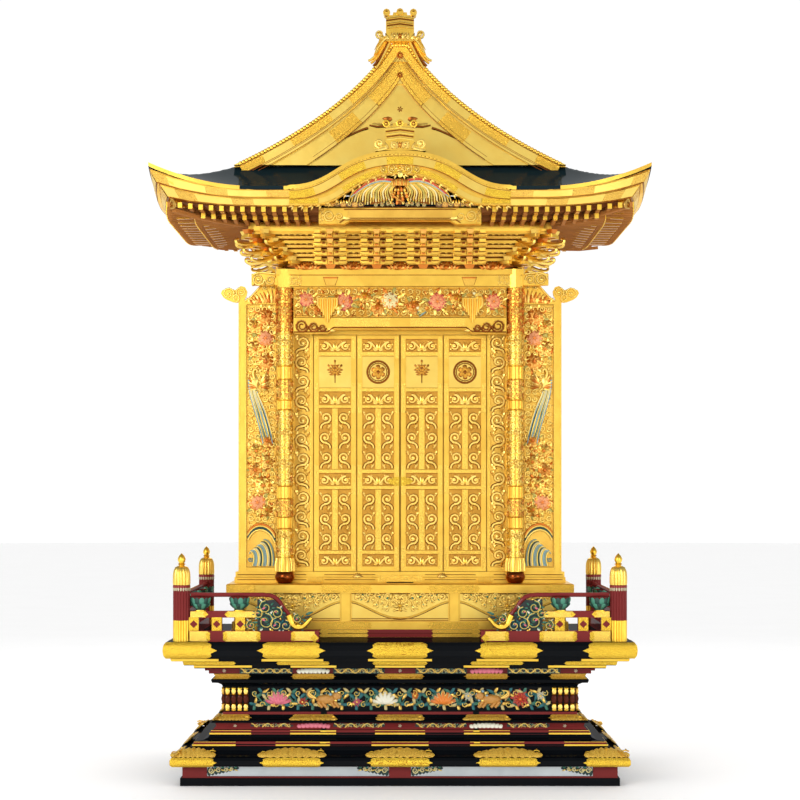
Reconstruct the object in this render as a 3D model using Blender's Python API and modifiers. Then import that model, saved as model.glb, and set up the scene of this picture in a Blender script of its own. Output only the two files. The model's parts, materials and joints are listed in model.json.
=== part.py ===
"""Temple altar: a lacquered dais with a low railing, and on it a gilded shrine with folding doors.

Metres, +Z up. The front faces -Y, and the origin is on the floor under the middle of the roof.
"""
import bmesh
import bpy
from math import cos, pi, sin
from mathutils import Matrix, Vector

# Space left between pieces that touch
GAP = 0.0003

# Dais, half sizes in plan at the widest board
DAIS_X, DAIS_Y = 0.912, 0.600
DAIS_TOP = 0.560
DAIS_HOLLOW_X, DAIS_HOLLOW_Y = 0.660, 0.348

# Railing
POST_X, POST_Y = 0.846, 0.537
POST_R = 0.0335
SHAFT_TOP = 0.779
HANDRAIL_Z, HANDRAIL_R = 0.741, 0.0085
MID_RAIL = (0.653, 0.6785)
LOW_RAIL_TOP = 0.602

# Shrine, measured from the lines of its four columns
COLUMN_X = 0.462
COLUMN_FRONT, COLUMN_BACK = -0.250, 0.290
SHRINE_Y = (COLUMN_FRONT + COLUMN_BACK) / 2
COLUMN_HALF_Y = (COLUMN_BACK - COLUMN_FRONT) / 2
COLUMN_R = 0.0355
PLINTH_TOP, LEDGE_TOP, SILL_TOP = 0.737, 0.773, 0.817
STAND_TOP = 0.857
COLUMN_FOOT_TOP = 0.820
WALL_TOP = 1.956
HEAD_BEAM_TOP = 2.030
WALL = 0.020
WALL_X = 0.452
WALL_FRONT, WALL_BACK = -0.183, 0.223

# Doors: four leaves, hinged in pairs
DOOR_HALF = 0.350
LEAF_W = DOOR_HALF / 2
LEAF_FRONT, LEAF_T = -0.185, 0.022
DOOR_BOTTOM, DOOR_TOP = 0.8185, 1.7715
DOOR_GAP = 0.0008
# Half the gap where the two pairs of leaves meet, which each needs to swing past the other
MEETING_GAP = 0.0020
# Room over the leaves, behind the tie beam
HEAD_GAP = 0.006
HINGE_Y = LEAF_FRONT - 0.004

# Roof
EAVE_X, EAVE_Y = 0.954, 0.720
EAVE_TOP = 2.299
GABLE_Y = 0.420
SHELL_T = 0.014
CORNER_RISE, SWEEP_LENGTH = 0.090, 0.400
RIDGE_Z = 2.888
SCROLL_R = 0.014


def clear_scene():
    for obj in list(bpy.data.objects):
        bpy.data.objects.remove(obj, do_unlink=True)


def material(name, colour, roughness, metallic):
    made = bpy.data.materials.new(name)
    made.use_nodes = True
    shader = made.node_tree.nodes["Principled BSDF"]
    shader.inputs["Base Color"].default_value = (*colour, 1.0)
    shader.inputs["Roughness"].default_value = roughness
    shader.inputs["Metallic"].default_value = metallic
    return made


def finishes():
    return {
        "gold": material("gold_leaf", (0.90, 0.58, 0.10), 0.30, 1.0),
        "black": material("black_lacquer", (0.008, 0.011, 0.013), 0.12, 0.0),
        "red": material("red_brown_lacquer", (0.16, 0.025, 0.028), 0.35, 0.0),
        "metal": material("gilt_metal", (0.95, 0.62, 0.12), 0.22, 1.0),
        "bronze": material("dark_bronze", (0.25, 0.09, 0.03), 0.30, 1.0),
        "painted": material("painted_carving", (0.05, 0.22, 0.14), 0.50, 0.0),
    }


def collection(name):
    made = bpy.data.collections.new(name)
    bpy.context.scene.collection.children.link(made)
    return made


def add_object(name, data, finish):
    obj = bpy.data.objects.new(name, data)
    data.materials.clear()
    data.materials.append(finish)
    bpy.data.collections["temple_altar"].objects.link(obj)
    return obj


def face_outwards(bm):
    bm.normal_update()
    bmesh.ops.recalc_face_normals(bm, faces=bm.faces)
    if bm.calc_volume(signed=True) < 0:
        bmesh.ops.reverse_faces(bm, faces=bm.faces)


def from_bmesh(name, bm, finish):
    face_outwards(bm)
    mesh = bpy.data.meshes.new(name)
    bm.to_mesh(mesh)
    bm.free()
    return add_object(name, mesh, finish)


def baked(obj):
    """The object as a plain mesh with its place in its points, and its modifiers applied."""
    bpy.context.view_layer.update()
    graph = bpy.context.evaluated_depsgraph_get()
    mesh = bpy.data.meshes.new_from_object(obj.evaluated_get(graph))
    mesh.transform(obj.matrix_world)
    bm = bmesh.new()
    bm.from_mesh(mesh)
    bmesh.ops.remove_doubles(bm, verts=bm.verts, dist=1e-6)
    face_outwards(bm)
    bm.to_mesh(mesh)
    bm.free()
    name, finish = obj.name, obj.data.materials[0]
    bpy.data.objects.remove(obj, do_unlink=True)
    return add_object(name, mesh, finish)


def copy_of(obj, name, matrix):
    """A second solid, turned or mirrored by the matrix."""
    bm = bmesh.new()
    bm.from_mesh(obj.data)
    bm.transform(matrix)
    return from_bmesh(name, bm, obj.data.materials[0])


def boolean(obj, other, operation):
    modifier = obj.modifiers.new("boolean", "BOOLEAN")
    modifier.object = other
    modifier.operation = operation
    made = baked(obj)
    bpy.data.objects.remove(other, do_unlink=True)
    return made


def gathered(name, pieces):
    """Pieces that don't touch each other, as one mesh for one Boolean."""
    bm = bmesh.new()
    for piece in pieces:
        bm.from_mesh(piece.data)
    finish = pieces[0].data.materials[0]
    for piece in pieces:
        bpy.data.objects.remove(piece, do_unlink=True)
    return from_bmesh(name, bm, finish)


def fused(name, pieces):
    """Overlapping pieces joined into one closed body."""
    whole = pieces[0]
    for piece in pieces[1:]:
        whole = boolean(whole, piece, "UNION")
    whole.name = name
    return whole


def box(name, low, high, finish):
    bm = bmesh.new()
    low, high = Vector(low), Vector(high)
    place = Matrix.Translation((low + high) / 2) @ Matrix.Diagonal((*(high - low), 1))
    bmesh.ops.create_cube(bm, size=1, matrix=place)
    return from_bmesh(name, bm, finish)


def bezier(p0, p1, p2, p3, steps):
    """Points of a cubic curve in a plane, both ends included."""
    found = []
    for i in range(steps + 1):
        t = i / steps
        a, b, c, d = (1 - t) ** 3, 3 * t * (1 - t) ** 2, 3 * t * t * (1 - t), t ** 3
        found.append(tuple(a * w + b * x + c * y + d * z for w, x, y, z in zip(p0, p1, p2, p3)))
    return found


def height_on(curve, x):
    """The curve's height at x, between its points."""
    for (x0, z0), (x1, z1) in zip(curve, curve[1:]):
        if x0 <= x <= x1:
            return z0 + (z1 - z0) * (x - x0) / (x1 - x0)
    return curve[0][1] if x < curve[0][0] else curve[-1][1]


def board(name, outline, y0, y1, finish):
    """A flat board cut to an outline in X and Z, from y0 to y1."""
    curve = bpy.data.curves.new(name, "CURVE")
    curve.dimensions = "2D"
    curve.fill_mode = "BOTH"
    curve.extrude = (y1 - y0) / 2
    spline = curve.splines.new("POLY")
    spline.points.add(len(outline) - 1)
    for point, (x, z) in zip(spline.points, outline):
        point.co = (x, z, 0, 1)
    spline.use_cyclic_u = True
    obj = add_object(name, curve, finish)
    obj.rotation_euler = (pi / 2, 0, 0)
    obj.location = (0, (y0 + y1) / 2, 0)
    return baked(obj)


def mirrored_outline(half):
    """A closed outline from its right half, which runs from the middle out and back to the middle."""
    left = [(-x, z) for x, z in reversed(half) if x > 1e-6]
    return half + left


def turned(name, profile, place, finish, sides=12, flutes=0, depth=0.0):
    """A turned piece. Its profile of (radius, z) runs down from the top, and starts and ends on the axis."""
    mesh = bpy.data.meshes.new(name)
    mesh.from_pydata([(r, 0, z) for r, z in profile], [(i, i + 1) for i in range(len(profile) - 1)], [])
    obj = add_object(name, mesh, finish)
    screw = obj.modifiers.new("turning", "SCREW")
    screw.steps = screw.render_steps = sides
    screw.use_merge_vertices = True
    screw.merge_threshold = 0.00002
    obj = baked(obj)
    if flutes:
        for vertex in obj.data.vertices:
            x, y, z = vertex.co
            around = angle_round(x, y)
            scale = 1 - depth * (0.5 - 0.5 * cos(flutes * around))
            vertex.co = (x * scale, y * scale, z)
    obj.data.transform(Matrix.Translation(place))
    return obj


def angle_round(x, y):
    """The turn of a point about the Z axis."""
    return Vector((x, y)).angle_signed(Vector((1, 0))) if abs(x) + abs(y) > 1e-7 else 0.0


def tube(name, points, radius, finish, resolution=2):
    curve = bpy.data.curves.new(name, "CURVE")
    curve.dimensions = "3D"
    curve.bevel_depth = radius
    curve.bevel_resolution = resolution
    curve.use_fill_caps = True
    spline = curve.splines.new("POLY")
    spline.points.add(len(points) - 1)
    for point, co in zip(spline.points, points):
        point.co = (*co, 1)
    return baked(add_object(name, curve, finish))


def moulded(name, profile, half, centre_y, finish, hollow=None):
    """A moulding that runs round a rectangle. The profile's (inset, z) run from the bottom to the top.
    With hollow, its inside is open from end to end. Without, it is a solid slab."""
    rings = [(half[0] - inset, half[1] - inset, z) for inset, z in profile]
    if hollow:
        rings += [(*hollow, profile[-1][1]), (*hollow, profile[0][1]), rings[0]]
    bm = bmesh.new()
    bmesh.ops.create_grid(bm, x_segments=1, y_segments=1, size=1)
    first = bm.verts[:]
    edges = bm.edges[:]
    if hollow:
        bmesh.ops.delete(bm, geom=bm.faces[:], context="FACES_ONLY")
    place_ring(first, rings[0], centre_y)
    for ring in rings[1:]:
        grown = bmesh.ops.extrude_edge_only(bm, edges=edges)["geom"]
        edges = [part for part in grown if isinstance(part, bmesh.types.BMEdge)]
        place_ring([part for part in grown if isinstance(part, bmesh.types.BMVert)], ring, centre_y)
    if hollow:
        bmesh.ops.remove_doubles(bm, verts=bm.verts, dist=1e-5)
    else:
        bmesh.ops.contextual_create(bm, geom=edges)
    return from_bmesh(name, bm, finish)


def place_ring(verts, ring, centre_y):
    """Four corners, each kept in its own quarter, at a ring's half sizes and height."""
    half_x, half_y, z = ring
    for vertex in verts:
        right, behind = vertex.co.x > 0, vertex.co.y > centre_y
        vertex.co = (half_x if right else -half_x, centre_y + (half_y if behind else -half_y), z)


def quarter(inset0, z0, inset1, z1, steps, hollow_side=False):
    """Points of a quarter-round between two points of a moulding's profile."""
    found = []
    for i in range(1, steps):
        a = pi / 2 * i / steps
        across, up = (1 - cos(a), sin(a)) if hollow_side else (sin(a), 1 - cos(a))
        found.append((inset0 + (inset1 - inset0) * across, z0 + (z1 - z0) * up))
    return found


def lower_moulding_profile():
    """From the wide rounded foot up to the waist."""
    foot, waist = 0.024, 0.2135
    return [
        (foot + 0.008, 0.078 + GAP), (foot, 0.086), (foot, 0.102), (foot + 0.006, 0.112),
        *quarter(foot + 0.006, 0.112, 0.095, 0.149, 4),
        (0.095, 0.149), (0.104, 0.149), (0.104, 0.158), (0.110, 0.158), (0.110, 0.167),
        *quarter(0.118, 0.167, 0.166, 0.187, 3),
        (0.166, 0.187), (0.166, 0.196), (0.171, 0.196), (0.171, 0.205),
        (0.178, 0.205), (0.190, 0.218), (0.186, 0.233),
        (0.170, 0.233), (0.174, 0.242), *quarter(0.174, 0.242, 0.214, 0.261, 3),
        (0.214, 0.261), (waist, 0.273),
    ]


def upper_moulding_profile():
    """From the waist out to the underside of the top board, the lower one's steps turned over."""
    return [
        (0.2135, 0.371 + GAP), *quarter(0.2135, 0.371 + GAP, 0.177, 0.390, 3, True),
        (0.174, 0.390), (0.170, 0.402), (0.178, 0.402), (0.188, 0.414), (0.180, 0.427),
        (0.163, 0.427), (0.163, 0.440), (0.149, 0.440), (0.149, 0.4515),
        (0.110, 0.4515), (0.110, 0.466), (0.074, 0.466), (0.070, 0.485),
        (0.030, 0.485), (0.027, 0.497),
    ]


def build_dais(finish):
    hollow = (DAIS_HOLLOW_X, DAIS_HOLLOW_Y)
    half = (DAIS_X, DAIS_Y)
    black, red = finish["black"], finish["red"]
    moulded("dais_plinth", [(0.060, 0), (0.060, 0.030)], half, 0, black, hollow)
    band = moulded("dais_panel_band", [(0.068, 0.030 + GAP), (0.068, 0.078)], half, 0, red, hollow)
    boolean(band, gathered("panel_cutters", panel_cutters(red)), "DIFFERENCE")
    moulded("dais_lower_moulding", lower_moulding_profile(), half, 0, black, hollow)
    waist = moulded("dais_waist", [(0.219, 0.273 + GAP), (0.219, 0.371)], half, 0, black, hollow)
    boolean(waist, gathered("waist_cutters", waist_cutters(black)), "DIFFERENCE")
    moulded("dais_upper_moulding", upper_moulding_profile(), half, 0, black, hollow)
    low, mid = 0.497 + GAP, (0.497 + DAIS_TOP) / 2
    nose = [(0.012, low), (0.0025, low + 0.012), (0, mid), (0.0025, DAIS_TOP - 0.012), (0.012, DAIS_TOP)]
    moulded("dais_top_board", nose, half, 0, black)


def panel_cutters(finish):
    """Sunk panels of the foot band: two in front and behind, one on each side."""
    depth, low, high = 0.006, 0.036, 0.074
    face_x, face_y = DAIS_X - 0.068, DAIS_Y - 0.068
    post, middle = 0.095, 0.042
    cutters = []
    for side in (-1, 1):
        x0, x1 = sorted((side * middle, side * (face_x - post)))
        for front in (-1, 1):
            y0, y1 = sorted((front * (face_y - depth), front * (face_y + depth)))
            cutters.append(box("cutter", (x0, y0, low), (x1, y1, high), finish))
        x0, x1 = sorted((side * (face_x - depth), side * (face_x + depth)))
        reach = face_y - post
        cutters.append(box("cutter", (x0, -reach, low), (x1, reach, high), finish))
    return cutters


def waist_cutters(finish):
    """The long carved panels of the waist lie back between its corner posts."""
    depth, low, high, post = 0.009, 0.278, 0.366, 0.098
    face_x, face_y = DAIS_X - 0.219, DAIS_Y - 0.219
    cutters = []
    for side in (-1, 1):
        y0, y1 = sorted((side * (face_y - depth), side * (face_y + depth)))
        cutters.append(box("cutter", (post - face_x, y0, low), (face_x - post, y1, high), finish))
        x0, x1 = sorted((side * (face_x - depth), side * (face_x + depth)))
        cutters.append(box("cutter", (x0, post - face_y, low), (x1, face_y - post, high), finish))
    return cutters


def build_posts(finish):
    base = DAIS_TOP + GAP
    shaft = [
        (0, SHAFT_TOP), (0.026, SHAFT_TOP), (0.033, SHAFT_TOP - 0.010), (0.0325, 0.625),
        (POST_R, 0.622), (POST_R, base), (0, base),
    ]
    low = SHAFT_TOP + GAP
    finial = [
        (0, 0.9027), (0.0155, 0.880), (0.0155, 0.867), (0.010, 0.857),
        (0.026, 0.836), (0.0345, 0.790), (0.031, low), (0, low),
    ]
    for front, y in (("front", -POST_Y), ("back", POST_Y)):
        for side, x in (("left", -POST_X), ("right", POST_X)):
            name = f"rail_post_{front}_{side}"
            turned(name, shaft, (x, y, 0), finish["red"], 16, 8, 0.10)
            turned(f"rail_finial_{front}_{side}", finial, (x, y, 0), finish["metal"], 16, 8, 0.10)


def lotus_bracket(x, y, finish):
    """A small lotus cup on a neck, which carries the handrail."""
    top = HANDRAIL_Z - HANDRAIL_R - GAP
    low = MID_RAIL[1] - 0.004
    profile = [(0, top), (0.036, top), (0.032, 0.716), (0.010, 0.700), (0.013, low), (0, low)]
    return turned("lotus", profile, (x, y, 0), finish["red"], 8)


def front_rail(side, finish):
    """The low rail, struts, middle rail and lotus brackets of one short front run, built on the right."""
    red = finish["red"]
    start, low_end, mid_end = POST_X - POST_R - GAP, 0.314, 0.554
    y0, y1 = -POST_Y - 0.022, -POST_Y + 0.022
    m0, m1 = -POST_Y - 0.014, -POST_Y + 0.014
    base = DAIS_TOP + GAP
    pieces = [box("low", (low_end, y0, base), (start, y1, LOW_RAIL_TOP), red)]
    for x in (0.798, 0.709, 0.618):
        pieces.append(box("strut", (x - 0.020, m0, 0.600), (min(x + 0.020, start), m1, 0.656), red))
    pieces.append(box("middle", (mid_end, m0 - 0.001, MID_RAIL[0]), (start, m1 + 0.001, MID_RAIL[1]), red))
    for x in (0.772, 0.622):
        pieces.append(lotus_bracket(x, -POST_Y, finish))
    run = fused("rail_front_" + side, pieces)
    if side == "left":
        run = flipped(run)
    return run


def flipped(obj):
    """The same solid on the other side of X = 0."""
    made = copy_of(obj, "turned_over", Matrix.Diagonal((-1, 1, 1, 1)))
    name = obj.name
    bpy.data.objects.remove(obj, do_unlink=True)
    made.name = name
    return made


def side_rail(side, finish):
    red = finish["red"]
    end = POST_Y - POST_R - GAP
    base = DAIS_TOP + GAP
    pieces = [box("low", (POST_X - 0.022, -end, base), (POST_X + 0.022, end, LOW_RAIL_TOP), red)]
    for i in range(7):
        y = -0.489 + i * 0.163
        y0, y1 = max(y - 0.020, -end), min(y + 0.020, end)
        pieces.append(box("strut", (POST_X - 0.014, y0, 0.600), (POST_X + 0.014, y1, 0.656), red))
    x0, x1 = POST_X - 0.015, POST_X + 0.015
    pieces.append(box("middle", (x0, -end, MID_RAIL[0]), (x1, end, MID_RAIL[1]), red))
    for i in range(4):
        pieces.append(lotus_bracket(POST_X, -0.4605 + i * 0.307, finish))
    run = fused("rail_side_" + side, pieces)
    return flipped(run) if side == "left" else run


def handrail_route():
    """The front handrail's line in X and Z: level from the post, then down in an S to an upturned tip."""
    start = POST_X - POST_R - 0.002
    level = [(start, HANDRAIL_Z), (0.66, HANDRAIL_Z)]
    fall = bezier((0.530, HANDRAIL_Z), (0.462, HANDRAIL_Z), (0.468, 0.700), (0.440, 0.676), 7)
    hook = bezier((0.440, 0.676), (0.415, 0.650), (0.425, 0.617), (0.392, 0.616), 5)
    tip = bezier((0.392, 0.616), (0.366, 0.616), (0.362, 0.636), (0.342, 0.652), 4)
    return level + fall + hook[1:] + tip[1:]


def rail_carving(side, finish):
    """The carved and painted spray that carries the handrail's falling end."""
    low = LOW_RAIL_TOP + GAP
    edge = [
        (0.552, low), (0.552, 0.722), (0.535, 0.727), (0.512, 0.719), (0.488, 0.722), (0.470, 0.706),
        (0.458, 0.690), (0.440, 0.664), (0.425, 0.646), (0.416, 0.625), (0.412, low),
    ]
    spray = board("rail_carving_" + side, edge, -POST_Y - 0.012, -POST_Y + 0.012, finish["painted"])
    route = [(x, -POST_Y, z) for x, z in handrail_route()]
    spray = boolean(spray, tube("groove", route, HANDRAIL_R + 2 * GAP, finish["painted"]), "DIFFERENCE")
    return flipped(spray) if side == "left" else spray


def build_railing(finish):
    build_posts(finish)
    route = [(x, -POST_Y, z) for x, z in handrail_route()]
    end = POST_Y - POST_R - 0.002
    side_route = [(POST_X, -end, HANDRAIL_Z), (POST_X, end, HANDRAIL_Z)]
    for side in ("right", "left"):
        front_rail(side, finish)
        side_rail(side, finish)
        rail_carving(side, finish)
        front = tube("handrail_front_" + side, route, HANDRAIL_R, finish["red"])
        beside = tube("handrail_side_" + side, side_route, HANDRAIL_R, finish["red"])
        if side == "left":
            flipped(front)
            flipped(beside)


def build_shrine_base(finish):
    """The carved base, and on it the ledge, the cabinet's floor and a low stand for the image inside."""
    gold = finish["gold"]
    half = (0.672, COLUMN_HALF_Y + 0.050)
    base = DAIS_TOP + GAP
    profile = [
        (0, base), (0, 0.592), (0.003, 0.592), (0.003, 0.622), (0.024, 0.622),
        (0.024, PLINTH_TOP),
    ]
    plinth = moulded("shrine_plinth", profile, half, SHRINE_Y, gold, (0.600, COLUMN_HALF_Y - 0.020))
    face = SHRINE_Y - half[1] + 0.024
    struts = []
    for x in (-0.640, -0.217, 0.217, 0.640):
        y0, y1 = face - 0.012, face + 0.006
        struts.append(box("strut", (x - 0.022, y0, 0.620), (x + 0.022, y1, PLINTH_TOP - 0.001), gold))
        y0, y1 = 2 * SHRINE_Y - y1, 2 * SHRINE_Y - y0
        struts.append(box("strut", (x - 0.022, y0, 0.620), (x + 0.022, y1, PLINTH_TOP - 0.001), gold))
    boolean(plinth, gathered("struts", struts), "UNION")
    low = PLINTH_TOP + GAP
    ledge = [(0, low), (0, LEDGE_TOP - 0.004), (0.004, LEDGE_TOP)]
    ledge = moulded("shrine_floor", ledge, (0.690, COLUMN_HALF_Y + 0.065), SHRINE_Y, gold)
    sill = [(0, low + 0.010), (0, 0.795), (0.004, 0.797), (0.004, SILL_TOP)]
    sill = moulded("sill", sill, (0.667, COLUMN_HALF_Y - 0.045), SHRINE_Y, gold)
    stand = box("stand", (-0.300, -0.080, SILL_TOP - 0.002), (0.300, 0.170, STAND_TOP), gold)
    boolean(boolean(ledge, sill, "UNION"), stand, "UNION")


def column_profile():
    """A slender shaft with carved collars that stand proud of it, and a flared skirt at the foot."""
    plain, carved = 0.0290, COLUMN_R
    profile = [(0, WALL_TOP), (carved, WALL_TOP), (carved, 1.714), (plain, 1.700)]
    for low, high in ((1.405, 1.645), (1.180, 1.375), (0.915, 1.130)):
        profile += [(plain, high), (carved, high - 0.014), (carved, low + 0.014), (plain, low)]
    base = COLUMN_FOOT_TOP + GAP
    return profile + [(plain, 0.880), (0.0375, 0.868), (0.0345, base), (0, base)]


def build_columns(finish):
    low = LEDGE_TOP + GAP
    foot = [
        (0, COLUMN_FOOT_TOP), (0.037, COLUMN_FOOT_TOP), (0.0405, 0.806),
        (0.026, 0.786), (0.028, low), (0, low),
    ]
    carved = column_profile()
    plain = [carved[0], (0.0315, WALL_TOP), (0.0315, 0.880), *carved[-3:]]
    for front, y, shaft in (("front", COLUMN_FRONT, carved), ("back", COLUMN_BACK, plain)):
        for side, x in (("left", -COLUMN_X), ("right", COLUMN_X)):
            turned(f"column_{front}_{side}", shaft, (x, y, 0), finish["gold"], 12)
            turned(f"column_foot_{front}_{side}", foot, (x, y, 0), finish["bronze"], 12)


def build_walls(finish):
    gold = finish["gold"]
    low = SILL_TOP + GAP
    for side, name in ((-1, "wall_left"), (1, "wall_right")):
        x0, x1 = sorted((side * WALL_X, side * (WALL_X + WALL)))
        box(name, (x0, WALL_FRONT, low), (x1, WALL_BACK, WALL_TOP), gold)
    reach = WALL_X - GAP
    box("wall_back", (-reach, WALL_BACK - WALL, low), (reach, WALL_BACK, WALL_TOP), gold)
    frame = box("door_frame", (-reach, WALL_FRONT, low), (reach, WALL_FRONT + WALL, WALL_TOP), gold)
    half, head = DOOR_HALF + 0.0015, DOOR_TOP + HEAD_GAP
    opening = box("opening", (-half, WALL_FRONT - 0.1, low - 0.1), (half, 0, head), gold)
    frame = boolean(frame, opening, "DIFFERENCE")
    strips = []
    for side in (-1, 1):
        x0, x1 = sorted((side * 0.364, side * 0.428))
        strips.append(box("strip", (x0, WALL_FRONT - 0.1, 0.835), (x1, WALL_FRONT + 0.010, head), gold))
    boolean(frame, gathered("strips", strips), "DIFFERENCE")


def leaf_panels():
    """Sunk panels of one leaf, as x and z ranges from its lower left corner."""
    stile, muntin = 0.022, 0.023
    inner = LEAF_W - 2 * stile
    wide = (stile, stile + inner)
    pair = [(stile, stile + (inner - muntin) / 2), (stile + (inner + muntin) / 2, stile + inner)]
    rows = [
        (0.022, 0.068, [wide]), (0.086, 0.330, pair), (0.347, 0.395, [wide]), (0.413, 0.658, pair),
        (0.673, 0.724, [wide]), (0.742, 0.868, [wide]), (0.888, 0.936, [wide]),
    ]
    return [(x0, x1, z0, z1) for z0, z1, spans in rows for x0, x1 in spans]


def hang(leaf, x):
    """Put a leaf's origin on its hinge's axis, just in front of its face."""
    axis = Vector((x, HINGE_Y, DOOR_BOTTOM))
    leaf.data.transform(Matrix.Translation(-axis))
    leaf.location = axis


def build_doors(finish):
    gold = finish["gold"]
    names = ("door_left_outer", "door_left_inner", "door_right_inner", "door_right_outer")
    leaves = []
    for i, name in enumerate(names):
        left = -DOOR_HALF + i * LEAF_W
        x0 = left + (MEETING_GAP if name == "door_right_inner" else DOOR_GAP)
        x1 = left + LEAF_W - (MEETING_GAP if name == "door_left_inner" else DOOR_GAP)
        leaf = box(name, (x0, LEAF_FRONT, DOOR_BOTTOM), (x1, LEAF_FRONT + LEAF_T, DOOR_TOP), gold)
        cutters = []
        for a, b, c, d in leaf_panels():
            depth = 0.004 if 0.742 <= c < 0.80 else 0.007
            low = (left + a, LEAF_FRONT - 0.01, DOOR_BOTTOM + c)
            high = (left + b, LEAF_FRONT + depth, DOOR_BOTTOM + d)
            cutters.append(box("panel", low, high, gold))
        leaves.append(boolean(leaf, gathered("panels", cutters), "DIFFERENCE"))
    for outer, inner, side in ((leaves[0], leaves[1], -1), (leaves[3], leaves[2], 1)):
        hang(outer, side * (DOOR_HALF - DOOR_GAP))
        hang(inner, side * LEAF_W)
        inner.parent = outer
        inner.location -= outer.location


def wing_outline():
    """One side wing: a tall carved panel whose shoulder drops to a curled ear on its outer post."""
    inner, outer = WALL_X + WALL + 0.0005, 0.651
    top = WALL_TOP - 0.0005
    shoulder = [(inner, top), (0.4975, top), (0.4975, 1.985), (0.553, 1.985)]
    slope = [(0.606, 1.925), (0.628, 1.912)]
    ear = [
        (0.638 + 0.022 * cos(a), 1.944 + 0.026 * sin(a))
        for a in (pi * 1.15, pi * 0.95, pi * 0.7, pi * 0.45, pi * 0.2)
    ]
    curl = [
        (0.690 + 0.032 * cos(a), 1.940 + 0.022 * sin(a))
        for a in (pi * 0.8, pi * 0.5, pi * 0.2, 0, -pi * 0.25)
    ]
    low = SILL_TOP + GAP
    fall = [(0.700, 1.915), (0.672, 1.904), (outer, 1.903), (outer, low), (inner, low)]
    return shoulder + slope + ear + curl + fall


def build_wings(finish):
    for side in ("right", "left"):
        wing = board("wing_" + side, wing_outline(), -0.200, -0.180, finish["gold"])
        sunk = box("sunk", (0.500, -0.21, 0.835), (0.618, -0.193, 1.895), finish["gold"])
        wing = boolean(wing, sunk, "DIFFERENCE")
        if side == "left":
            flipped(wing)


def build_front_beams(finish):
    gold = finish["gold"]
    end, haunch, rise = COLUMN_X - COLUMN_R - 0.001, 0.290, 0.017
    low, high = 1.773, 1.839
    half = [(haunch - 0.022, low + rise), (haunch, low), (end, low), (end, high)]
    board("tie_beam", mirrored_outline(half), COLUMN_FRONT - 0.025, COLUMN_FRONT + 0.025, gold)
    box("frieze", (-end, COLUMN_FRONT - 0.016, high + GAP), (end, COLUMN_FRONT + 0.012, WALL_TOP), gold)
    low = WALL_TOP + GAP
    half = (COLUMN_X + 0.028, COLUMN_HALF_Y + 0.028)
    ring = [(0, low), (0, HEAD_BEAM_TOP - 0.022), (-0.004, HEAD_BEAM_TOP - 0.022), (-0.004, HEAD_BEAM_TOP)]
    ring = moulded("head_beam", ring, half, SHRINE_Y, gold, (COLUMN_X - 0.032, COLUMN_HALF_Y - 0.035))
    extras = []
    for y in (COLUMN_FRONT, COLUMN_BACK):
        for side in (-1, 1):
            profile = [(0, HEAD_BEAM_TOP), (0.0375, HEAD_BEAM_TOP), (0.0375, low), (0, low)]
            boss = turned("boss", profile, (side * COLUMN_X, y, 0), gold, 8)
            x0, x1 = sorted((side * (COLUMN_X + 0.020), side * 0.594))
            nose = box("nose", (x0, y - 0.018, 1.966), (x1, y + 0.018, 2.012), gold)
            extras.append(fused("boss", [boss, nose]))
    ring = boolean(ring, gathered("extras", extras), "UNION")
    deep = (COLUMN_X - 0.031, COLUMN_HALF_Y - 0.034)
    ceiling = moulded("ceiling", [(0, 2.004), (0, 2.024)], deep, SHRINE_Y, gold)
    boolean(ring, ceiling, "UNION")


# Bracket tiers above the head beam: how far each stands out from the column line, and where it starts
TIER_PITCH, TIER_STEP = 0.0317, 0.0360
TIER_LOW = HEAD_BEAM_TOP + 0.017
PURLIN_OUT, PURLIN_LOW, PURLIN_TOP = 0.130, 2.1680, 2.2050


def bracket_outline():
    """One bracket from the side: a bearing block, then four arms, each longer than the one under it."""
    low = HEAD_BEAM_TOP + GAP
    outline = [(-0.012, low), (-0.022, low), (-0.022, TIER_LOW)]
    for k in range(4):
        out, z = 0.034 + k * TIER_STEP, TIER_LOW + k * TIER_PITCH
        outline += [(0.008 - out, z), (-out, z + 0.009), (-out, z + TIER_PITCH - 0.001 * (k == 3))]
    return outline + [(-0.012, outline[-1][1])]


def build_brackets(finish):
    gold = finish["gold"]
    low = HEAD_BEAM_TOP + GAP
    profile = [(0, low)]
    for k in range(4):
        out, z = k * 0.031, TIER_LOW + (k + 0.3) * TIER_PITCH
        profile += [(-out, z), (-out - 0.014, z)]
    profile += [(-0.107, PURLIN_LOW), (-PURLIN_OUT - 0.006, PURLIN_LOW), (-PURLIN_OUT - 0.006, PURLIN_TOP)]
    half = (COLUMN_X, COLUMN_HALF_Y)
    hollow = (COLUMN_X - 0.030, COLUMN_HALF_Y - 0.030)
    core = moulded("bracket_set", profile, half, SHRINE_Y, gold, hollow)
    one = board("arm", bracket_outline(), -0.022, 0.022, gold)
    places = []
    for k in range(4):
        x = COLUMN_X * (k * 0.4 - 0.6)
        places += [(x, COLUMN_FRONT, pi / 2, 1), (x, COLUMN_BACK, -pi / 2, 1)]
    for k in range(2):
        y = COLUMN_FRONT + (k + 1) * 0.18
        places += [(-COLUMN_X, y, 0, 1), (COLUMN_X, y, pi, 1)]
    places += [(x, y, turn, 1.4) for x, y, turn in corner_places()]
    arms = []
    for x, y, turn, scale in places:
        place = Matrix.Translation((x, y, 0)) @ Matrix.Rotation(turn, 4, "Z")
        arms.append(copy_of(one, "arm", place @ Matrix.Diagonal((scale, scale, 1, 1))))
    bpy.data.objects.remove(one, do_unlink=True)
    boolean(core, gathered("arms", arms), "UNION")


def corner_places():
    """The four columns, with the turn that points a bracket drawn towards -X out over each corner."""
    return [
        (-COLUMN_X, COLUMN_FRONT, pi / 4), (COLUMN_X, COLUMN_FRONT, 3 * pi / 4),
        (-COLUMN_X, COLUMN_BACK, -pi / 4), (COLUMN_X, COLUMN_BACK, -3 * pi / 4),
    ]


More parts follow.
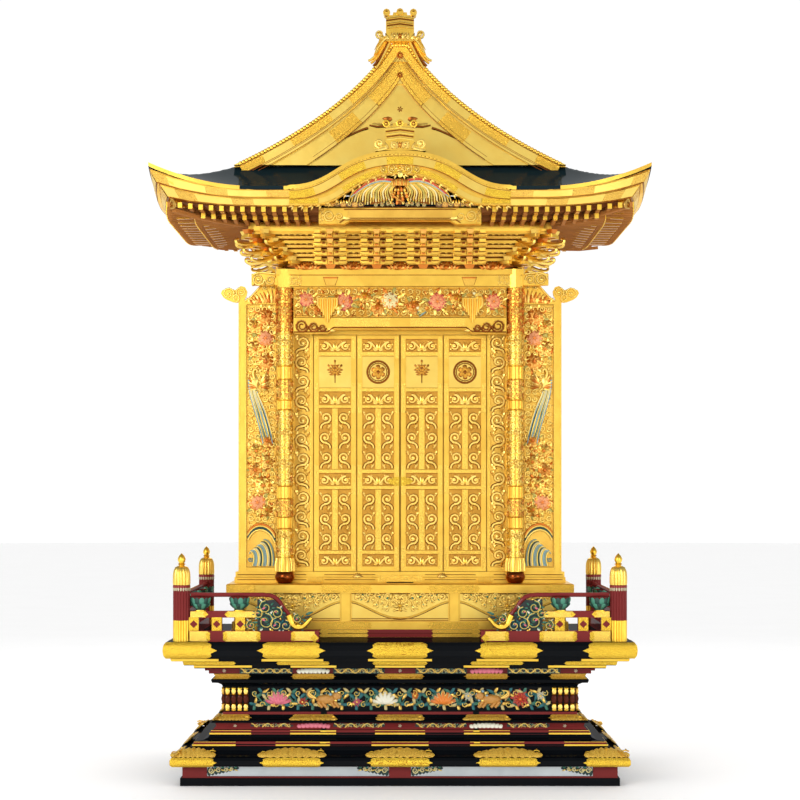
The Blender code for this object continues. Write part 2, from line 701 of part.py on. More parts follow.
SLOPE = bezier((0.035, 2.890), (0.240, 2.560), (0.760, 2.360), (EAVE_X, EAVE_TOP), 10)
# The undulating front gable: its top edge and the edge of its opening, from the middle out
WAVE_END, PORCH_HALF = 0.420, 0.311
WAVE_TOP = bezier((0, 2.4345), (0.240, 2.4345), (0.240, 2.305), (WAVE_END, 2.303), 9)
FASCIA_LOW = 2.2264
WAVE_LOW = bezier((0, 2.345), (0.170, 2.350), (0.205, 2.230), (0.320, FASCIA_LOW), 7)
WAVE_LOW.append((WAVE_END - GAP, FASCIA_LOW))
EAVE_STATIONS = [WAVE_END, EAVE_X - SWEEP_LENGTH, 0.72, 0.85, EAVE_X]


def sweep(x, y):
    """How far the eave has turned up at this place, from 0 to 1 at the corner."""
    along_x = max(0.0, (abs(x) - EAVE_X + SWEEP_LENGTH) / SWEEP_LENGTH)
    along_y = max(0.0, (abs(y) - EAVE_Y + SWEEP_LENGTH) / SWEEP_LENGTH)
    return (along_x * along_y) ** 2


def roof_height(x, y):
    """Top of the roof: steep side slopes, hipped skirts in front and behind, a wave over the front eave."""
    slope = height_on(SLOPE, abs(x))
    if abs(y) > GABLE_Y - GAP / 2:
        slope = min(slope, height_on(SLOPE, EAVE_X - (EAVE_Y - abs(y))))
    height = slope + CORNER_RISE * sweep(x, y)
    if y < -GABLE_Y - GAP and abs(x) < WAVE_END:
        height = max(height, height_on(WAVE_TOP, abs(x)))
    return height


def roof_sheet(name, xs, ys, finish):
    """One sheet of the roof over a grid, with its thickness below it."""
    bm = bmesh.new()
    bmesh.ops.create_grid(bm, x_segments=len(xs) - 1, y_segments=len(ys) - 1, size=1)
    for vertex in bm.verts:
        i = round((vertex.co.x + 1) / 2 * (len(xs) - 1))
        j = round((vertex.co.y + 1) / 2 * (len(ys) - 1))
        vertex.co = (xs[i], ys[j], roof_height(xs[i], ys[j]))
    under = bmesh.ops.extrude_face_region(bm, geom=bm.faces[:])["geom"]
    for element in under:
        if isinstance(element, bmesh.types.BMVert):
            element.co.z -= SHELL_T
    return from_bmesh(name, bm, finish)


def both_ways(values):
    """The same distances on both sides of zero."""
    return [-v for v in reversed(values) if v > 0] + list(values)


def build_roof(finish):
    black = finish["black"]
    slope_x = both_ways([0] + [x for x, z in SLOPE])
    edge = GABLE_Y - GAP
    roof_sheet("roof_main", slope_x, [-edge, -0.32, 0.32, edge], black)
    rows = [GABLE_Y, 0.50, 0.62, EAVE_Y]
    skirt_x = both_ways([0, 0.07, 0.13, 0.18, 0.23, 0.30] + EAVE_STATIONS)
    roof_sheet("roof_skirt_front", skirt_x, [-y for y in reversed(rows)], black)
    roof_sheet("roof_skirt_back", both_ways(EAVE_STATIONS), rows, black)


def eave_foot(turn):
    """How far the fascia's lower edge stands in from the eave's line."""
    return 0.036 + 0.036 * turn


def eave_low(turn):
    return FASCIA_LOW + 0.4 * CORNER_RISE * turn


def fascia_section(turn):
    """Inset and height of the fascia's corners where the eave has turned up this far."""
    top = EAVE_TOP + (CORNER_RISE - 0.010) * turn - SHELL_T - GAP
    low, foot = eave_low(turn), eave_foot(turn)
    middle = (top + low) / 2
    return [
        (0.004, top), (0.010 + 0.3 * foot * turn, middle), (0.45 * foot + 0.006, middle),
        (foot, low), (foot + 0.034, low), (0.042, top - 0.046 * turn),
    ]


def soffit_section(turn):
    """How far out from the shrine's wall towards the eave, and the height, of the soffit's corners."""
    low = eave_low(turn) - GAP
    lift = low - FASCIA_LOW
    return [
        (1.0, low), (1.0, low - 0.018), (0.70, 2.2085 + 0.7 * lift), (0.70, 2.1925 + 0.7 * lift),
        (0.37, PURLIN_TOP + 0.0008 + 0.3 * lift), (0, PURLIN_TOP + 0.0008), (0, FASCIA_LOW - GAP),
    ]


def eave_stations():
    """Places round the eave from the right end of the front wave to its left end."""
    side = both_ways([0.32, GABLE_Y, 0.50, 0.62])
    half = [(x, -EAVE_Y) for x in EAVE_STATIONS] + [(EAVE_X, y) for y in side]
    half += [(x, EAVE_Y) for x in reversed(EAVE_STATIONS)]
    return half + [(-x, y) for x, y in reversed(half)]


def lofted(name, loops, closed, finish):
    """A skin through loops of points, one after the other."""
    bm = bmesh.new()
    rings = []
    for points in loops:
        verts = [bm.verts.new(point) for point in points]
        rings.append([bm.edges.new((a, b)) for a, b in zip(verts, verts[1:] + verts[:1])])
    for one, two in zip(rings, rings[1:] + (rings[:1] if closed else [])):
        bmesh.ops.bridge_loops(bm, edges=one + two)
    if not closed:
        bmesh.ops.contextual_create(bm, geom=rings[0])
        bmesh.ops.contextual_create(bm, geom=rings[-1])
    return from_bmesh(name, bm, finish)


def build_eaves(finish):
    """The fascia under the roof's edge, and the boarded soffit behind it with its two steps of rafters."""
    wall_x, wall_y = COLUMN_X + PURLIN_OUT - 0.040, 0.320
    fascia, soffit = [], []
    for x, y in eave_stations():
        turn = sweep(x, y)
        tx, ty = x / EAVE_X, y / EAVE_Y
        loop = []
        for inset, z in fascia_section(turn):
            along = x if abs(x) == WAVE_END else tx * (EAVE_X - inset)
            loop.append((along, ty * (EAVE_Y - inset), z))
        fascia.append(loop)
        edge_x, edge_y = EAVE_X - eave_foot(turn) - 0.030, EAVE_Y - eave_foot(turn) - 0.030
        soffit.append([
            (tx * (wall_x + (edge_x - wall_x) * out), ty * (wall_y + (edge_y - wall_y) * out), z)
            for out, z in soffit_section(turn)
        ])
    lofted("eave_fascia", fascia, False, finish["gold"])
    soffit = lofted("eave_soffit", soffit, True, finish["gold"])
    half = PORCH_HALF + GAP
    porch = box("porch", (-half, -0.80, 2.1), (half, -0.50, 2.4), finish["gold"])
    boolean(soffit, porch, "DIFFERENCE")


def slope_line(drop, low):
    """The roof's slope, lowered by drop, from near the middle out to where it comes down to low."""
    points = [(x, z - drop) for x, z in SLOPE]
    found = [point for point in points if point[1] > low]
    (x0, z0), (x1, z1) = found[-1], points[len(found)]
    return found + [(x0 + (x1 - x0) * (z0 - low) / (z0 - z1), low)]


def gable(name, finish):
    """The stepped gable: a heavy outer board along the slope, a second inside it, and a flat field."""
    gold = finish["gold"]
    foot = height_on(SLOPE, EAVE_X - EAVE_Y + GABLE_Y) + 0.0020
    edge = -GABLE_Y - GAP
    low = foot + 0.001
    outer = [(0, RIDGE_Z)] + slope_line(0, foot) + slope_line(0.072, foot)[::-1] + [(0, 2.822)]
    inner = [(0, 2.850)] + slope_line(0.040, low) + slope_line(0.155, low)[::-1] + [(0, 2.738)]
    field = [(0, 2.800)] + slope_line(0.100, foot + 0.002)
    return fused(name, [
        board("outer", mirrored_outline(outer), edge - 0.042, edge, gold),
        board("inner", mirrored_outline(inner), edge - 0.028, edge - 0.001, gold),
        board("field", mirrored_outline(field), edge - 0.014, edge - 0.002, gold),
    ])


def build_gables(finish):
    front = gable("gable_front", finish)
    copy_of(front, "gable_back", Matrix.Rotation(pi, 4, "Z"))


def ornament(width, z, height, droop, y0, y1, finish):
    """A ridge-end block: three scroll ends on a stepped body, with a curled fin on each side."""
    gold = finish["gold"]
    half = width / 2
    body = z + height - 0.034
    outline = [
        (half * 1.15, z), (half * 1.7, z - droop), (half * 1.95, z - droop - 0.006),
        (half * 1.62, z - 0.004), (half * 1.5, z + 0.016), (half * 1.68, z + 0.032),
        (half * 1.42, z + 0.040), (half * 1.12, z + 0.012), (half * 1.05, z + 0.016),
        (half * 1.05, body + 0.008), (half * 0.55, body + 0.008), (half * 0.5, body + 0.019),
    ]
    pieces = [board("body", mirrored_outline(outline), y0, y1, gold)]
    depth = y1 - y0 + 0.008
    for x, up in ((-half, 0.018), (0, 0.034 - SCROLL_R), (half, 0.018)):
        place = Matrix.Translation((x, (y0 + y1) / 2 - 0.004, body + up)) @ Matrix.Rotation(pi / 2, 4, "X")
        bm = bmesh.new()
        bmesh.ops.create_cone(
            bm, cap_ends=True, segments=8, radius1=SCROLL_R, radius2=SCROLL_R, depth=depth, matrix=place,
        )
        pieces.append(from_bmesh("scroll_end", bm, gold))
    return fused("ornament", pieces)


def build_ridge(finish):
    gold = finish["gold"]
    low = 2.8905
    half = [
        (0.030, low), (0.034, low + 0.012), (0.026, low + 0.020),
        (0.026, low + 0.046), (0.012, low + 0.060),
    ]
    beam = board("ridge", mirrored_outline(half), -0.470, 0.470, gold)
    front = ornament(0.104, low + 0.0012, 0.1265, 0.046, -0.512, -0.4635, finish)
    back = copy_of(front, "back", Matrix.Rotation(pi, 4, "Z"))
    return fused("ridge", [beam, front, back])


def build_front_wave(finish):
    """The undulating gable over the front eave: its board, beam, carving and ornament."""
    gold = finish["gold"]
    drop = SHELL_T + 0.001
    end = WAVE_END - GAP
    top = [(x, z - drop) for x, z in WAVE_TOP[:-1]] + [(end, EAVE_TOP - drop)]
    half = top + WAVE_LOW[::-1]
    outer = board("outer", mirrored_outline(half), -0.716, -0.676, gold)
    lip = [(x, z - drop - 0.040) for x, z in WAVE_TOP[:-1]] + [(end, 2.262)]
    lip += [(x, z - 0.002) for x, z in reversed(WAVE_LOW)]
    recess = board("recess", mirrored_outline(lip), -0.730, -0.704, gold)
    boolean(outer, recess, "DIFFERENCE").name = "wave_board"
    ornament(0.104, 2.4349, 0.117, 0, -0.718, -0.672, finish).name = "wave_ornament"
    beam_low, beam_high = 2.1650, 2.2260
    arch = [(0.190, beam_low + 0.014), (0.215, beam_low), (PORCH_HALF, beam_low), (PORCH_HALF, beam_high)]
    board("wave_beam", mirrored_outline(arch), -0.640, -0.590, gold)


def build_bird(finish):
    """The carved bird with open wings that fills the wave's opening, on its back board."""
    gold = finish["gold"]
    low, y0, y1 = 2.2268, -0.668, -0.630
    wing = [
        (0, 2.330), (0.055, 2.334), (0.110, 2.326), (0.150, 2.305),
        (0.185, 2.275), (0.215, 2.238), (0.225, low),
    ]
    pieces = [board("back", mirrored_outline(wing), y1 - 0.016, y1, gold)]
    for side in (-1, 1):
        for k in range(2):
            spread = 0.070 + 0.070 * k
            top, tip = 2.322 - 0.022 * k, 2.236
            feather = [
                (0.012, top), (spread * 0.8, top - 0.010), (spread + 0.045, tip),
                (spread + 0.016, tip + 0.004), (0.016, 2.262),
            ]
            feather = [(side * x, z) for x, z in feather]
            pieces.append(board("wing", feather, y0 + 0.006 * k + 0.004, y1 - 0.003 - 0.002 * k, gold))
    profile = [
        (0, 2.334), (0.012, 2.330), (0.018, 2.312), (0.013, 2.296),
        (0.024, 2.276), (0.026, 2.254), (0.010, 2.236), (0, 2.232),
    ]
    pieces.append(turned("body", profile, (0, y0 + 0.022, 0), gold, 10))
    return fused("wave_carving", pieces)


def build():
    clear_scene()
    collection("temple_altar")
    finish = finishes()
    build_dais(finish)
    build_railing(finish)
    build_shrine_base(finish)
    build_columns(finish)
    build_walls(finish)
    build_doors(finish)
    build_wings(finish)
    build_front_beams(finish)
    build_brackets(finish)
    build_roof(finish)
    build_eaves(finish)
    build_gables(finish)
    build_ridge(finish)
    build_front_wave(finish)
    build_bird(finish)


build()
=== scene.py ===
import json
from math import ceil, cos, pi, radians, sin, sqrt, tau

import bmesh
import bpy
from bpy.props import FloatProperty, FloatVectorProperty, IntProperty, PointerProperty
from mathutils.bvhtree import BVHTree
from mathutils import Matrix, Vector


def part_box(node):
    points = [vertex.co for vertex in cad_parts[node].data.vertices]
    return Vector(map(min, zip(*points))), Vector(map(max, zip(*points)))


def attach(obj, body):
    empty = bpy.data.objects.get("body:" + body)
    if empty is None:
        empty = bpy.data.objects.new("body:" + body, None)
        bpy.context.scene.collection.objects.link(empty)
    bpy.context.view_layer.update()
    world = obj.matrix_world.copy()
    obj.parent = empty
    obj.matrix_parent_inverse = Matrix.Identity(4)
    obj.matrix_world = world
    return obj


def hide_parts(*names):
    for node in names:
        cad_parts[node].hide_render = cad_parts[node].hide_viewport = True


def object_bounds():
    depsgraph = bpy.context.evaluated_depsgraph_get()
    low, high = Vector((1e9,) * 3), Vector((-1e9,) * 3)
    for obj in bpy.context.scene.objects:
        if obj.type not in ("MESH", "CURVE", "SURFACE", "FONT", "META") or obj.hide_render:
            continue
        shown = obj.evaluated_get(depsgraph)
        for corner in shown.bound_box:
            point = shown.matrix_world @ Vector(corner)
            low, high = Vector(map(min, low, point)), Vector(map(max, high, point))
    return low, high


bl_info = {
    "name": "Temple Altar",
    "version": (1, 0, 0),
    "blender": (4, 5, 0),
    "location": "View3D > Sidebar > Altar",
    "description": "Carving, fittings and finishes of a gilded shrine on a lacquered dais",
    "category": "Object",
}

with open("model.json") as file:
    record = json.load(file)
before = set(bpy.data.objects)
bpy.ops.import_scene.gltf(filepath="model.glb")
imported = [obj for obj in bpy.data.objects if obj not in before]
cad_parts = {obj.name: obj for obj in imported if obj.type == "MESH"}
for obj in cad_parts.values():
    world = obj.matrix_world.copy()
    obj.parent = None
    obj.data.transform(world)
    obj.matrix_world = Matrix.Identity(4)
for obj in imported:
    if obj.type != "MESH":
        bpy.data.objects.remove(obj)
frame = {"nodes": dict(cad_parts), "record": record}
NODES = frame["nodes"]
CAD_BOX = [list(corner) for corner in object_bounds()]

# A field is drawn flat, x across and y up, and stands out along z. FRONT turns it to face -Y.
FRONT = Matrix(((1, 0, 0), (0, 0, -1), (0, 1, 0))).to_4x4()
SIDES = {"front": 0, "right": pi / 2, "back": pi, "left": -pi / 2}

# Sizes of the frame that the carving is set out from
DAIS_HALF = (0.912, 0.6)
SHRINE_Y = 0.02
COLUMN_X, COLUMN_FRONT, COLUMN_BACK = 0.462, -0.25, 0.29
LEAF_FRONT, DOOR_BOTTOM = -0.185, 0.8185
EAVE_X, EAVE_Y, EAVE_TOP = 0.954, 0.72, 2.299
CORNER_RISE, SWEEP_LENGTH = 0.09, 0.4
GABLE_Y, WAVE_END, SHELL = 0.42, 0.42, 0.014
EAVE_HALF = (EAVE_X, EAVE_Y)
POST_X, POST_Y = 0.846, 0.537
WAIST_IN, WAIST_Z = 0.219, 0.322

# Finishes that many pieces share
GOLD, PLAIN, PALE, SHADOW = "gold_leaf_carved", "gold_leaf", "gold_leaf_pale", "gold_leaf_shadow"
GROUND, DEEP, HOLLOW = "gold_leaf_ground", "gold_leaf_deep", "gold_leaf_hollow"
RED_GOLD, BLUSH, GILT = "gold_leaf_red", "blush_gold", "gilt_metal_plain"
ENGRAVED, CHASED = "gilt_metal_engraved", "gilt_metal_chased"
WARM, FINE = "gilt_metal_warm", "gilt_metal_fine"
GREEN, DARK_GREEN, TEAL, SEA = "green_pigment", "dark_green_pigment", "teal_pigment", "sea_pigment"
CREAM, WHITE, PINK, ROSE = "cream_pigment", "white_pigment", "pink_pigment", "rose_pigment"
ORANGE, OLIVE, ROSY, BLUE_GREY = "orange_pigment", "olive_pigment", "blush_pigment", "blue_grey_pigment"


def linear(code):
    """An sRGB hex colour as linear RGBA."""
    values = [int(code[i:i + 2], 16) / 255 for i in (1, 3, 5)]
    return (*[v / 12.92 if v <= 0.04045 else ((v + 0.055) / 1.055) ** 2.4 for v in values], 1.0)


class AltarSizes(bpy.types.PropertyGroup):
    relief: FloatProperty(
        name="Relief", description="Height of the door carving", default=0.0052, unit="LENGTH")
    stem: FloatProperty(
        name="Stem", description="Half width of a carved scroll's stem", default=0.004, unit="LENGTH")
    fitting: FloatProperty(
        name="Fitting", description="Thickness of the gilt metal fittings", default=0.0014, unit="LENGTH")
    rafter_pitch: FloatProperty(
        name="Rafter pitch", description="Distance from rafter to rafter", default=0.04, unit="LENGTH")
    rafter: FloatProperty(
        name="Rafter", description="Width and height of a rafter", default=0.019, unit="LENGTH")
    flutes: IntProperty(
        name="Flutes", description="Flutes round a railing post", default=16, min=8, max=32)


class AltarColours(bpy.types.PropertyGroup):
    gold: FloatVectorProperty(name="Gold leaf", description="Burnished gold leaf", subtype="COLOR", size=4,
        default=linear("#FACD56"))
    gold_deep: FloatVectorProperty(name="Deep gold", description="Gold in the hollows", subtype="COLOR",
        size=4, default=linear("#DCA23A"))
    gilt: FloatVectorProperty(name="Gilt metal", description="Engraved gilt fittings", subtype="COLOR",
        size=4, default=linear("#FFDE48"))
    black: FloatVectorProperty(name="Black lacquer", description="Polished lacquer", subtype="COLOR",
        size=4, default=linear("#05070A"))
    red: FloatVectorProperty(name="Red-brown lacquer", description="Satin lacquer", subtype="COLOR", size=4,
        default=linear("#6A2524"))
    roof: FloatVectorProperty(name="Roof lacquer", description="Dark green-black roof", subtype="COLOR",
        size=4, default=linear("#0E1C20"))


def add(tree, kind, inputs=None, **settings):
    """One shader node, with its settings, and its sockets set or linked."""
    made = tree.nodes.new("ShaderNode" + kind)
    for name, value in settings.items():
        setattr(made, name, value)
    for name, value in (inputs or {}).items():
        if isinstance(value, bpy.types.NodeSocket):
            tree.links.new(value, made.inputs[name])
        else:
            made.inputs[name].default_value = value
    return made


def surface(name, **sockets):
    """A material's tree, its shader, and the place that its patterns are read from."""
    older = bpy.data.materials.get(name)
    if older:
        older.name = name + "_frame"
    made = bpy.data.materials.new(name)
    made.use_nodes = True
    tree = made.node_tree
    shader = tree.nodes["Principled BSDF"]
    for socket, value in sockets.items():
        shader.inputs[socket.replace("_", " ")].default_value = value
    return tree, shader, add(tree, "TexCoord").outputs["Object"]


def between(tree, factor, low, high):
    """Two colours mixed by a factor."""
    mixed = add(tree, "Mix", {0: factor, 6: low, 7: high}, data_type="RGBA")
    return mixed.outputs[2]


def relief_light(tree):
    """How far a carved surface stands up from its ground, from 0 to 1, by which the finishes paint shade into
    its low parts.
    """
    return add(tree, "Attribute", attribute_name="rise").outputs["Fac"]


def noise(tree, place, scale, detail, distortion=0.0):
    """A soft random pattern, whose marks are about a metre over the scale apart."""
    inputs = {"Vector": place, "Scale": scale, "Detail": detail, "Distortion": distortion}
    return add(tree, "TexNoise", inputs).outputs["Fac"]


def spread(tree, value, low=0.0, high=1.0, to_low=0.0, to_high=1.0):
    """A value's range from low to high, stretched over another range."""
    inputs = {"Value": value, "From Min": low, "From Max": high, "To Min": to_low, "To Max": to_high}
    return add(tree, "MapRange", inputs).outputs["Result"]


def rough(tree, shader, height, strength, distance):
    """A surface raised and sunk by a pattern, over a distance in metres."""
    bump = add(tree, "Bump", {"Height": height, "Strength": strength, "Distance": distance})
    tree.links.new(bump.outputs["Normal"], shader.inputs["Normal"])


def gold_leaf_on_wood(name, bright, deep, pattern, strength, carved=False):
    """Beaten gold leaf over lacquered wood: warm metal with a soft sheen, and the faint wrinkles of the leaf.
    A leaf is about 100 mm square, so its tone changes over that distance, and its wrinkles are 2 to 4 mm."""
    tree, shader, place = surface(name, Metallic=1.0, Roughness=0.34)
    warm = between(tree, spread(tree, noise(tree, place, 11.0, 3.0), 0.36, 0.64), deep, bright)
    base = between(tree, 0.62, warm, bright)
    # Carved gold gets painted shade: it darkens to a deep brown towards the ground of the carving, where its
    # hollows are
    if carved:
        base = between(tree, spread(tree, relief_light(tree), 0.02, 0.55), linear("#8E4C10"), base)
    tree.links.new(base, shader.inputs["Base Color"])
    polish = spread(tree, noise(tree, place, 46.0, 4.0), to_low=0.26, to_high=0.42)
    tree.links.new(polish, shader.inputs["Roughness"])
    rough(tree, shader, noise(tree, place, pattern, 5.0, 0.6), strength, 0.0012)


def engraved_gilt_metal(name, bright, groove, size, metallic=1.0):
    """Gilt copper sheet, chased all over with fine scrolls and punched grounds. The real lines are under
    1 mm apart, so they are drawn at about 4 mm to show."""
    tree, shader, place = surface(name, Metallic=metallic, Roughness=0.30)
    cells = add(tree, "TexVoronoi", {"Vector": place, "Scale": size}, feature="DISTANCE_TO_EDGE")
    line = spread(tree, cells.outputs["Distance"], high=0.20)
    rings = add(tree, "TexWave", {"Vector": place, "Scale": size * 0.42, "Distortion": 11.0, "Detail": 2.0},
        wave_type="RINGS", rings_direction="SPHERICAL")
    both = add(tree, "Math", {0: line, 1: rings.outputs["Fac"]}, operation="MULTIPLY").outputs["Value"]
    tone = between(tree, spread(tree, both, high=0.30), groove, bright)
    tree.links.new(tone, shader.inputs["Base Color"])
    rough(tree, shader, both, 0.45, 0.0015)
    tree.links.new(spread(tree, both, to_low=0.42, to_high=0.24), shader.inputs["Roughness"])


def polished_lacquer(name, colour, roughness, coat):
    """Lacquer rubbed down and polished: a deep colour under a clear gloss, with faint brush waviness about
    20 mm long and a little dust that dulls it."""
    tree, shader, place = surface(name, Roughness=roughness, Specular_IOR_Level=0.0, Coat_Weight=coat,
        Coat_Roughness=0.06)
    lighter = [min(1.0, c * 1.4 + 0.002) for c in colour[:3]]
    tone = between(tree, noise(tree, place, 7.0, 4.0), colour, (*lighter, 1))
    tree.links.new(tone, shader.inputs["Base Color"])
    dull = spread(tree, noise(tree, place, 60.0, 5.0), 0.3, 0.8, 0.04, 0.12)
    tree.links.new(dull, shader.inputs["Coat Roughness"])
    rough(tree, shader, noise(tree, place, 50.0, 1.0), 0.05, 0.001)


def pigment_on_carved_wood(name, code, shade):
    """Mineral pigment brushed on carved wood: nearly matt, with painted shade that leaves it paler on the
    crests and deeper in the cuts, and uneven. The brush marks are about 3 mm apart."""
    tree, shader, place = surface(name, Roughness=0.5)
    # Painted shade: the deep colour in the cuts, the pigment's own colour on the crests
    body = between(tree, spread(tree, relief_light(tree), 0.05, 0.8), linear(shade), linear(code))
    streak = noise(tree, place, 330.0, 3.0)
    hollow_shade_and_brush_marks = between(tree, spread(tree, streak, 0.35, 0.75, 0.0, 0.35), body, linear(shade))
    tree.links.new(hollow_shade_and_brush_marks, shader.inputs["Base Color"])
    rough(tree, shader, streak, 0.25, 0.0008)


def silver_leaf_panel(name):
    """Silver leaf under clear lacquer: a soft grey metal with faint clouding."""
    tree, shader, place = surface(name, Metallic=0.85, Roughness=0.38)
    tone = between(tree, noise(tree, place, 14.0, 5.0), linear("#AEB7BA"), linear("#D3D9DA"))
    tree.links.new(tone, shader.inputs["Base Color"])
    rough(tree, shader, noise(tree, place, 420.0, 3.0), 0.2, 0.0006)


def polished_bronze(name):
    """Cast and polished bronze: dark brown metal, redder where the hand has rubbed it."""
    tree, shader, place = surface(name, Metallic=1.0, Roughness=0.24)
    rub = noise(tree, place, 28.0, 4.0)
    tree.links.new(between(tree, rub, linear("#4A1D12"), linear("#A8551F")), shader.inputs["Base Color"])
    rough(tree, shader, rub, 0.1, 0.001)


# Finishes of gold leaf: bright and deep colour, scale and strength of the wrinkles, and whether it is carved
# (with painted shade in its hollows)
GOLD_LEAVES = {
    GOLD: ("#FFDE78", None, 420.0, 0.35, True),
    GROUND: ("#E4B650", "#C58E34", 380.0, 0.6),
    DEEP: ("#CA9238", "#A06820", 380.0, 0.6),
    # The door panels' ground: a darker gold, with the shade of their recess painted in
    HOLLOW: ("#C4903A", "#9E6C24", 380.0, 0.6),
    PALE: ("#F8D66C", "#EFBE4C", 200.0, 0.12),
    RED_GOLD: ("#E08A3A", "#B0551C", 420.0, 0.35, True),
    BLUSH: ("#F0B45A", "#D08030", 420.0, 0.35, True),
    # Painted shadow: a dark gold for lines, edges and blocks set where shade falls
    SHADOW: ("#9A5A24", "#6A3412", 300.0, 0.3),
    GILT: ("#FFD654", "#EFB02C", 300.0, 0.08),
}

PIGMENTS = {
    PINK: ("#E4798A", "#A12E48"),
    ROSE: ("#D9543F", "#8A1F1A"),
    WHITE: ("#F0EEDB", "#B7AC8A"),
    GREEN: ("#4C9A78", "#123C33"),
    "pale_green_pigment": ("#A9D8AE", "#3E8068"),
    TEAL: ("#1F8C8C", "#0B3A44"),
    CREAM: ("#E9DDA0", "#A98F48"),
    ROSY: ("#E9A06A", "#B4542C"),
    OLIVE: ("#B9A84A", "#6B6A22"),
    SEA: ("#8FA79A", "#3B5B5C"),
    DARK_GREEN: ("#234A40", "#0A1716"),
    BLUE_GREY: ("#8FAFB8", "#3E5F6E"),
    ORANGE: ("#EF8A2B", "#A2441A"),
    "tan_pigment": ("#C98F3F", "#6E3D16"),
    "brown_pigment": ("#6B4A28", "#2C1B10"),
}


def make_finishes(colours):
    """Every finish, with the pigments of the painted carving."""
    gold_leaf_on_wood(PLAIN, colours.gold[:], colours.gold_deep[:], 260.0, 0.22)
    for name, (bright, deep, *pattern) in GOLD_LEAVES.items():
        gold_leaf_on_wood(name, linear(bright), linear(deep) if deep else colours.gold[:], *pattern)
    engraved_gilt_metal(ENGRAVED, colours.gilt[:], linear("#B0700E"), 250.0, 0.8)
    engraved_gilt_metal(CHASED, linear("#FFD658"), linear("#A4660F"), 260.0, 0.35)
    engraved_gilt_metal(WARM, linear("#FFD556"), linear("#DEA53C"), 300.0)
    engraved_gilt_metal(FINE, linear("#FFDE66"), linear("#E8B44A"), 260.0)
    polished_lacquer("black_lacquer", colours.black[:], 0.20, 0.14)
    polished_lacquer("red_brown_lacquer", colours.red[:], 0.38, 0.16)
    polished_lacquer("dark_red_lacquer", linear("#4A1E12"), 0.34, 0.16)
    polished_lacquer("roof_lacquer", colours.roof[:], 0.45, 0.10)
    polished_lacquer("rafter_lacquer", linear("#9A6430"), 0.50, 0.05)
    polished_lacquer("soffit_lacquer", linear("#6A4020"), 0.50, 0.05)
    silver_leaf_panel("silver_leaf")
    polished_bronze("dark_bronze")
    for name, (code, shade) in PIGMENTS.items():
        pigment_on_carved_wood(name, code, shade)


def resampled(line, rows):
    """Points evenly spaced along a line of points."""
    lengths = [0.0]
    for a, b in zip(line, line[1:]):
        lengths.append(lengths[-1] + sqrt(sum((q - p) ** 2 for p, q in zip(a, b))))
    found, k = [], 0
    for i in range(rows):
        goal = lengths[-1] * i / (rows - 1)
        while k < len(line) - 2 and lengths[k + 1] < goal:
            k += 1
        part = (goal - lengths[k]) / max(1e-9, lengths[k + 1] - lengths[k])
        found.append(tuple(p + (q - p) * part for p, q in zip(line[k], line[k + 1])))
    return found


def bezier(p0, p1, p2, p3, steps):
    """Points of a cubic curve in a plane, both ends included."""
    found = []
    for i in range(steps + 1):
        t = i / steps
        a, b, c, d = (1 - t) ** 3, 3 * t * (1 - t) ** 2, 3 * t * t * (1 - t), t ** 3
        found.append(tuple(a * w + b * x + c * y + d * z for w, x, y, z in zip(p0, p1, p2, p3)))
    return found


def settle(name, bm, finishes, place=None, body="altar", replaces=(), smooth=38):
    """A finished mesh as a piece of the altar."""
    if place:
        bm.transform(place)
    for vertex in bm.verts:
        vertex.co = [min(max(c, low), high) for c, low, high in zip(vertex.co, *CAD_BOX)]
    bmesh.ops.recalc_face_normals(bm, faces=bm.faces)
    mesh = bpy.data.meshes.new(name)
    bm.to_mesh(mesh)
    bm.free()
    for finish in finishes:
        mesh.materials.append(bpy.data.materials[finish])
    mesh.shade_smooth()
    mesh.set_sharp_from_angle(angle=radians(smooth))
    obj = bpy.data.objects.new(name, mesh)
    bpy.context.scene.collection.objects.link(obj)
    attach(obj, body)
    if replaces:
        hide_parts(*replaces)
    return obj


def moved(x, y, z):
    return Matrix.Translation((x, y, z))


def spun(angle, axis="Z"):
    return Matrix.Rotation(angle, 4, axis)


def sized(x, y, z):
    return Matrix.Diagonal((x, y, z, 1))


def run_of(side, half):
    """Whether a side faces front or back, half its length, and its distance from the middle."""
    across = side in ("front", "back")
    return (across, *half) if across else (across, half[1], half[0])


def paint(verts, index):
    """Give the faces on these corners one of the piece's finishes."""
    for face in {face for vertex in verts for face in vertex.link_faces}:
        face.material_index = index


CORNER_TURNS = (-pi / 4, pi / 4, 3 * pi / 4, -3 * pi / 4)


def corner_place(index, x, y, z):
    """The place of a flat field that looks out across one corner of the altar."""
    return moved(x, y, z) @ spun(CORNER_TURNS[index]) @ FRONT


def field(side, out, z=0.0, middle_y=0.0, along=0.0):
    """The place of a flat field on one side of the altar, at this distance from the middle."""
    turn = spun(SIDES[side])
    return moved(0, middle_y, z) @ turn @ moved(along, -out, 0) @ FRONT


def offset(line, distance):
    """A line moved square to itself, down or up."""
    found = []
    for k, (x, y) in enumerate(line):
        ax, ay = line[max(0, k - 1)]
        bx, by = line[min(len(line) - 1, k + 1)]
        length = sqrt((bx - ax) ** 2 + (by - ay) ** 2)
        found.append((x - distance * (by - ay) / length, y + distance * (bx - ax) / length))
    return found


SHAPES = {}


